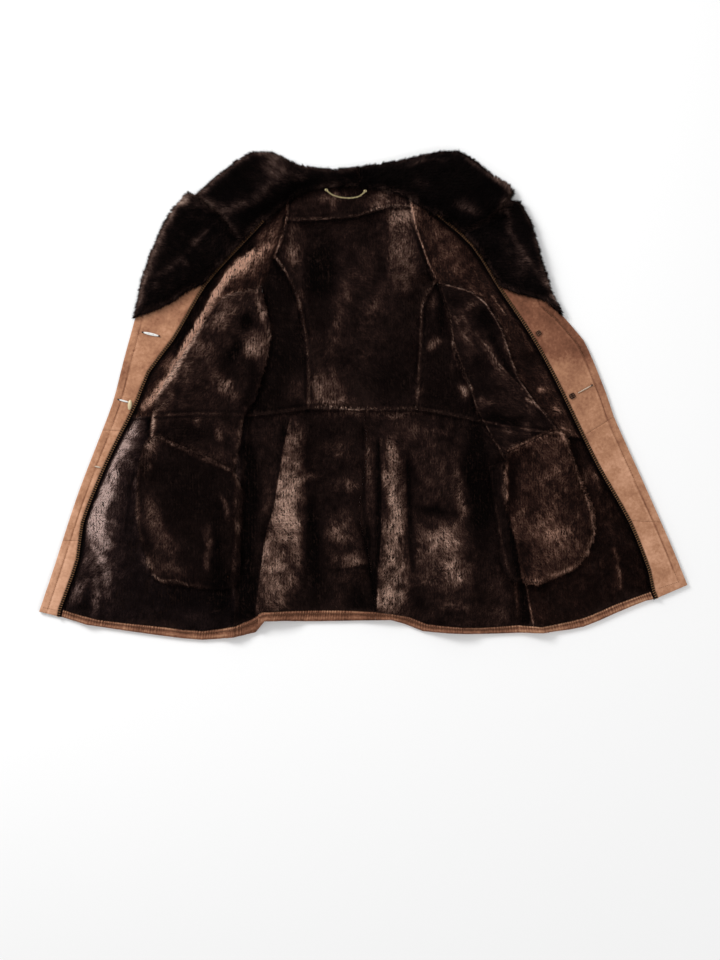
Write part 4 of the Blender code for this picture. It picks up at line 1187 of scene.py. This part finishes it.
def strip(node, finest):
    """A suede strip with softened top edges and faces no longer than finest."""
    shape = merged(node)
    top = [f for f in shape.faces if f.normal.z > 0.5]
    bmesh.ops.inset_region(shape, faces=top, thickness=1.4 * MM, depth=0, use_even_offset=True)
    shape.normal_update()
    rim = {v for f in shape.faces if abs(f.normal.z) < 0.5 for v in f.verts
           if v.co.z > 3 * MM and any(g.normal.z > 0.5 for g in v.link_faces)}
    for vert in rim:
        vert.co.z -= 0.8 * MM
    for _ in range(6):
        long_edges = [e for e in shape.edges if e.calc_length() > finest]
        bmesh.ops.subdivide_edges(shape, edges=long_edges, cuts=1, use_grid_fill=True)
        bmesh.ops.triangulate(shape, faces=[f for f in shape.faces if len(f.verts) > 4])
    for face in shape.faces:
        face.smooth = face.normal.z > 0.2
    return on_coat(mesh_of(node + "_suede", shape), [suede], node)


def outer_side(node):
    """The long side of a facing that is farther from the coat's middle, then the other."""
    one, other = long_sides(node)
    return (one, other) if abs(one[:, 0].mean()) > abs(other[:, 0].mean()) else (other, one)


sewn_lines = {}
for side in ("right", "left"):
    both = [outer_side(f"facing_{part}_{side}") for part in ("upper", "middle", "lower")]
    sewn_lines[side] = [shifted(spaced(outer, 4 * MM), spaced(inner, 4 * MM), STITCH_IN * MM)[2:-2]
                        for outer, inner in both]
for node in LAYERS["facings"]:
    side = node.split("_")[2]
    piece = strip(node, 4 * MM)
    plan = np.array([v.co[:2] for v in piece.data.vertices])
    tone = np.interp(plan[:, 1] / MM, *zip(*SUEDE_TONES[side])) + 0.045 * patchy(plan, 0.03, 77)
    edge = gaps_to(plan, outer_side(node)[0][:, :2]) / MM
    # Painted highlights on the turned outer edge and on the ridge just inside the stitching; the strip from
    # the edge to the stitching is darker.
    tone += (0.08 * np.exp(-(edge / 2) ** 2) - 0.05 * (edge < STITCH_IN)
             + 0.07 * np.exp(-((edge - STITCH_IN - 3) / 2) ** 2))
    set_values(piece.data, tone=tone, groove=0.55 * np.exp(-((edge - STITCH_IN) / 1.2) ** 2))
    lay(node, [])

# %% Topstitching on the facings
FACING_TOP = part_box("facing_lower_right")[1][2]
# The ends, in millimetres, of the short sewn lines across each facing.
SHORT_LINES = {"right": [[(-590, -386), (-563, -392)], [(-312, 187), (-300, 200)]],
               "left": [[(582, -338.5), (541, -352)], [(279, 187), (270, 199)]]}
for side, pairs in SHORT_LINES.items():
    for pair in pairs:
        sewn_lines[side].append(np.array([(x * MM, y * MM, FACING_TOP) for x, y in pair]))
for side, lines in sewn_lines.items():
    places = sum((run_of_stitches(line, 3.6 * MM, 2.7 * MM, 0.9 * MM, THREAD_LIFT) for line in lines), [])
    repeated("facing_topstitch_" + side, bead(), places, stitch_thread)
    print("facing stitches", side, len(places))

# %% [markdown]
# ## Hem band
#
# The hem is bound with a band of the same suede. It is eased round the curve, so it gathers into
# fine ribs next to the fur, and a line of stitches holds it down. A grid is bent into a closed tube
# along the two long sides of the band: its rows go round, and its columns follow the hem.

# %% Band wrapped round the hem
RIB = 4.8 * MM              # from one gathered rib to the next
AROUND = 18                 # faces round the tube
SEWN_AT = 0.70              # how far across the band, from the hem to the fur, its stitches run
HEM_TONES = {"hem_band_front_right": 0.34, "hem_band_back_right": 0.28, "hem_band_back_left": 0.28,
             "hem_band_front_left": 0.40}


def floor_under(node, line):
    """Height of the underside of a node below each point of a line."""
    shape = merged(node)
    low = np.array([v.co for v in shape.verts if any(f.normal.z < -0.5 for f in v.link_faces)])
    shape.free()
    near_point = np.linalg.norm(line[:, None, :2] - low[None, :, :2], axis=2).argmin(axis=1)
    return low[near_point, 2]


def squarish(value):
    """A sine or cosine pushed out towards 1, which makes a circle's section squarer."""
    return np.sign(value) * abs(value) ** 0.55


def make_band(node, tone):
    """The band along one stretch of hem: its piece, its length and its two long sides."""
    one, other = long_sides(node)
    upper, lower = (one, other) if one[:, 1].mean() > other[:, 1].mean() else (other, one)
    count = round(travelled(upper)[-1] / (RIB / 5))
    upper, lower = resampled(upper, count), resampled(lower, count)
    floor_z = floor_under(node, (upper + lower) / 2)
    plan = (upper[:, :2] + lower[:, :2]) / 2
    travel = travelled(plan)
    pull = 0.5 + 0.6 * patchy(plan, 0.016, 55)
    rib = np.sin(2 * math.pi * travel / RIB + 3.4 * patchy(plan, 0.014, 56)) * pull
    shape = bmesh.new()
    tones, grooves = (shape.verts.layers.float.new(name) for name in ("tone", "groove"))
    bmesh.ops.create_grid(shape, x_segments=count - 1, y_segments=AROUND, size=0.5)
    for index, vert in enumerate(sorted(shape.verts, key=lambda v: (round(v.co.x, 6), v.co.y))):
        column, row = divmod(index, AROUND + 1)
        angle = 2 * math.pi * row / AROUND
        share, rise = (squarish(math.cos(angle)) + 1) / 2, squarish(math.sin(angle))
        point = lower[column] * (1 - share) + upper[column] * share
        top = point[2] - 0.4 * MM
        seam = math.exp(-((share - SEWN_AT) / 0.07) ** 2) * (rise > 0)
        swell = 0.75 * MM * rib[column] * min(1.0, max(0.15, share * 1.5)) * (rise > 0) - 0.7 * MM * seam
        middle, half = (top + floor_z[column]) / 2, (top - floor_z[column]) / 2
        vert.co = (point[0], point[1], middle + rise * half + swell)
        # Painted highlights on the rib crests and painted shade between them, on the top of the band; the
        # band is also darker along its lower side.
        vert[tones] = tone + 0.20 * rib[column] * share ** 0.5 * (rise > -0.2) - 0.12 * (share < 0.16)
        vert[grooves] = 0.8 * seam
        vert.index = index
    shape.verts.sort()
    bmesh.ops.remove_doubles(shape, verts=shape.verts, dist=1e-6)
    bmesh.ops.holes_fill(shape, edges=[e for e in shape.edges if e.is_boundary])
    bmesh.ops.recalc_face_normals(shape, faces=shape.faces)
    for face in shape.faces:
        face.smooth = len(face.verts) < 5
    piece = on_coat(mesh_of(node + "_suede", shape), [hem_suede], node)
    return piece, float(travel[-1]), upper, lower


hem_places = []
for node, tone in HEM_TONES.items():
    piece, length, upper, lower = make_band(node, tone)
    sewn = upper * SEWN_AT + lower * (1 - SEWN_AT)
    hem_places += run_of_stitches(sewn, 3.4 * MM, 2.5 * MM, 0.8 * MM, -0.3 * MM)
    print(node, "length", round(length, 3), "faces", len(piece.data.polygons))
repeated("hem_topstitch", bead(), hem_places, stitch_thread)

# %% [markdown]
# ## Braid
#
# A narrow braid covers the raw edge where each facing meets the fur. It is a dark core with light
# overcast stitches that lean towards each other, so it reads as a twisted cord.

# %% Braids
BRAID_PITCH = 4.3 * MM
BRAID_ROWS = ((0.26, 1.15), (0.72, -1.15))      # how far across the braid, lean in radians
for side in ("right", "left"):
    node = "braid_" + side
    core = merged(node)
    top = [f for f in core.faces if f.normal.z > 0.5]
    bmesh.ops.inset_region(core, faces=top, thickness=1.8 * MM, depth=0, use_even_offset=True)
    core.normal_update()
    for vert in {v for f in core.faces if abs(f.normal.z) < 0.5 for v in f.verts if v.co.z > 6 * MM}:
        vert.co.z -= 1.6 * MM
    on_coat(mesh_of(node + "_core", core), [braid_dark], node)
    one, other = long_sides(node)
    count = round(travelled(one)[-1] / BRAID_PITCH)
    one, other = resampled(one, count), resampled(other, count)
    places = []
    for share, lean in BRAID_ROWS:
        line = one * (1 - share) + other * share
        places += [laid(point - (0, 0, 0.3 * MM), along, 3.1 * MM, 1.5 * MM, 1.5 * MM, lean)
                   for point, along in zip(line, np.gradient(line, axis=0))]
    repeated(node + "_overcast", bead(), places, braid_gold)
    print(node, "stitches", len(places))

# %% [markdown]
# ## Buttonholes, button threads and the backing button
#
# The buttonholes are short slits bound with pale silk: a padded lens of fabric, threads wound
# across it, and a slit along it and an eye at each end, both dark with painted shade. Two buttons sit
# on the other side, so only their threads show here, and one small backing button is seen from its edge.

# %% Bound slits
def axis_of(node):
    """Middle, direction and length of a small node, from its rim."""
    loop = rims[node]
    middle = (loop.max(axis=0) + loop.min(axis=0)) / 2
    spread = loop[:, None, :2] - loop[None, :, :2]
    far = np.unravel_index(np.linalg.norm(spread, axis=2).argmax(), spread.shape[:2])
    along = spread[far]
    return middle, along / np.linalg.norm(along), float(np.linalg.norm(along))


def bound_slit(node, pitch, eyes, silk, slim=1.0):
    """A node's lens of fabric made slimmer, with threads wound across it and dark beads of painted shade for
    its slit and end eyes.
    """
    middle, along, length = axis_of(node)
    body = merged(node)
    lean = Matrix.Rotation(math.atan2(along[1], along[0]), 4, "Z")
    there = Matrix.Translation(Vector(middle))
    bmesh.ops.transform(body, verts=body.verts, matrix=there @ lean @ Matrix.Diagonal((1, slim, 1, 1))
                        @ lean.inverted() @ there.inverted())
    bmesh.ops.subdivide_edges(body, edges=body.edges[:], cuts=1, use_grid_fill=True, smooth=0.4)
    mesh = mesh_of(node + "_binding", body)
    mesh.shade_smooth()
    on_coat(mesh, [silk], node)
    centre = np.array([middle[0], middle[1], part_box(node)[1][2]])
    ahead = np.array([*along, 0.0])
    across = np.array([-along[1], along[0]])
    wound = []
    for share in np.linspace(-0.44, 0.44, max(3, round(length / pitch))):
        reach = (3.6 * (1 - (2 * share) ** 2) ** 0.5 + 1) * slim * MM
        wound.append(laid(centre + ahead * share * length - (0, 0, 0.2 * MM), across, reach, 0.8 * MM,
                          0.8 * MM, 0.35))
    repeated(node + "_threads", bead(), wound, silk)
    # Dark beads stand for the shade in the slit and its eyes.
    shade_beads = []
    if eyes == 2:
        shade_beads.append(laid(centre + (0, 0, 0.3 * MM), ahead, length * 0.62, 0.6 * MM, 0.7 * MM, 0.05))
    for end in (-1, 1)[:eyes]:
        shade_beads.append(laid(centre + ahead * end * length * 0.51 + (0, 0, 0.4 * MM), ahead, 4.6 * MM, 3.6 * MM,
                         1.8 * MM))
    if shade_beads:
        repeated(node + "_slit", bead(), shade_beads, slit_dark)
    print(node, "length", round(length, 4))


bound_slit("buttonhole_upper_right", 1.2 * MM, 2, binding_silk)
bound_slit("buttonhole_middle_right", 1.4 * MM, 1, binding_silk, 0.8)
bound_slit("buttonhole_lower_right", 1.6 * MM, 0, dull_silk, 0.7)
bound_slit("buttonhole_left", 2.2 * MM, 1, dull_silk, 0.5)


# %% Button threads
def button_threads(node, turn, spread, knots):
    """Crossed strands over a small pad of felted thread, with a block of knots on them or not."""
    low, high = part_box(node)
    middle = (np.array(low) + np.array(high)) / 2
    middle[2] = high[2]
    on_coat(mesh_of(node + "_pad", merged(node)), [thread_pad], node)
    places = []
    for way in (turn, turn + math.pi / 2):
        ahead = np.array([math.cos(way), math.sin(way), 0])
        across = np.array([-ahead[1], ahead[0], 0])
        for share in (-1, 0, 1):
            point = middle + (0, 0, 0.3 * MM) + across * share * spread
            places.append(laid(point, ahead, 2.9 * spread, 1.5 * MM, 1.0 * MM))
    if knots:
        ahead = np.array([math.cos(turn), math.sin(turn), 0])
        across = np.array([-ahead[1], ahead[0], 0])
        places += [laid(middle + (0, 0, 0.4 * MM) + ahead * a * spread + across * b * spread * 0.6, ahead,
                        2.0 * MM, 1.6 * MM, 1.4 * MM) for a in (-1, -0.33, 0.33, 1) for b in (-1, 0, 1)]
    repeated(node + "_strands", bead(), places, button_thread)
    print(node, "strands", len(places))


button_threads("button_stitch_upper_left", math.radians(35), 3.6 * MM, False)
button_threads("button_stitch_lower_left", math.radians(30), 4.2 * MM, True)

# %% Backing button
BUTTON_TURN = math.radians(84)
low, high = (np.array(corner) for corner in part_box("backing_button"))
edge_on = laid((low + high) / 2 + (1.2 * MM, 1.5 * MM, 0), (math.cos(BUTTON_TURN), math.sin(BUTTON_TURN)),
               19 * MM, 7.6 * MM, 6 * MM)
repeated("backing_button_disc", bead(3), [edge_on], horn, "backing_button")
print("backing button seen from its edge")

# %% [markdown]
# ## Hanger chain
#
# A fine gilt chain hangs in a shallow curve between two small rings sewn to the yoke. A link is a
# thin ring pulled long, made once by spinning a small circle. Neighbouring links are tilted by
# different angles, as in a chain of round links. The links follow the route that the solid in the
# frame follows.

# %% Chain links
HANGER_ROUTE = [(-64.5, 374.5), (-56.5, 369.0), (-46.5, 365.5), (-35.5, 363.5), (-24.5, 363.0),
                (-13.5, 364.5), (-5.5, 367.5), (0.5, 372.5)]
HANGER_HEIGHT = 16 * MM
LINK_LENGTH = 4.6 * MM
LINK_WIDTH = 3.0 * MM
LINK_WIRE = 0.4 * MM
LINK_TILTS = (60, 25)       # degrees, by turns
RING_LENGTH = 6.0 * MM


def make_link():
    """One chain link along X: a closed ring of round wire, pulled long."""
    shape = bmesh.new()
    ring = bmesh.ops.create_circle(shape, segments=6, radius=LINK_WIRE)["verts"]
    bmesh.ops.rotate(shape, verts=ring, cent=(0, 0, 0), matrix=Matrix.Rotation(math.pi / 2, 3, "X"))
    bmesh.ops.translate(shape, verts=ring, vec=(LINK_WIDTH / 2 - LINK_WIRE, 0, 0))
    bmesh.ops.spin(shape, geom=shape.verts[:] + shape.edges[:], cent=(0, 0, 0), axis=(0, 0, 1),
                   angle=2 * math.pi, steps=12, use_merge=True)
    bmesh.ops.remove_doubles(shape, verts=shape.verts, dist=1e-6)
    bmesh.ops.recalc_face_normals(shape, faces=shape.faces)
    bmesh.ops.scale(shape, verts=shape.verts, vec=(1, LINK_LENGTH / LINK_WIDTH, 1))
    bmesh.ops.rotate(shape, verts=shape.verts, cent=(0, 0, 0), matrix=Matrix.Rotation(math.pi / 2, 3, "Z"))
    return shape


def smooth_route(count):
    """The chain's route: a Catmull-Rom curve through its points, read at even steps, in metres."""
    points = np.array(HANGER_ROUTE)
    ends = np.vstack([2 * points[0] - points[1], points, 2 * points[-1] - points[-2]])
    fine = []
    for a, b, c, d in zip(ends[:-3], ends[1:-2], ends[2:-1], ends[3:]):
        for t in np.linspace(0, 1, 12, endpoint=False):
            fine.append(0.5 * (2 * b + (c - a) * t + (2 * a - 5 * b + 4 * c - d) * t * t
                               + (3 * b - a - 3 * c + d) * t ** 3))
    fine.append(points[-1])
    route = resampled(np.array(fine), count) * MM
    return np.hstack([route, np.full((count, 1), HANGER_HEIGHT)])


route_length = float(travelled(smooth_route(60))[-1])
link_count = round(route_length / (LINK_LENGTH - 2.6 * LINK_WIRE))
route = smooth_route(link_count)
links = []
for number, (point, along) in enumerate(zip(route, np.gradient(route, axis=0))):
    place = np.eye(4)
    ahead = along / np.linalg.norm(along)
    tilt = math.radians(LINK_TILTS[number % 2])
    across = np.cross((0, 0, 1), ahead) * math.cos(tilt) + np.array((0, 0, 1)) * math.sin(tilt)
    place[:3] = np.stack([ahead, across, np.cross(ahead, across), point], axis=1)
    links.append(place)
chain = repeated("hanger_links", make_link(), links, gilt, "hanger_chain")
for node in ("hanger_ring_right", "hanger_ring_left"):
    low, high = (np.array(corner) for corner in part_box(node))
    place = np.diag([RING_LENGTH / LINK_LENGTH, RING_LENGTH / LINK_LENGTH * 1.2, 1.0, 1.0])
    place[:3, 3] = (low + high) / 2
    repeated(node + "_wire", make_link(), [place], gilt, node)
print("chain of", link_count, "links,", round(route_length, 4), "m")

# %% Bounds of the coat
low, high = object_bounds()
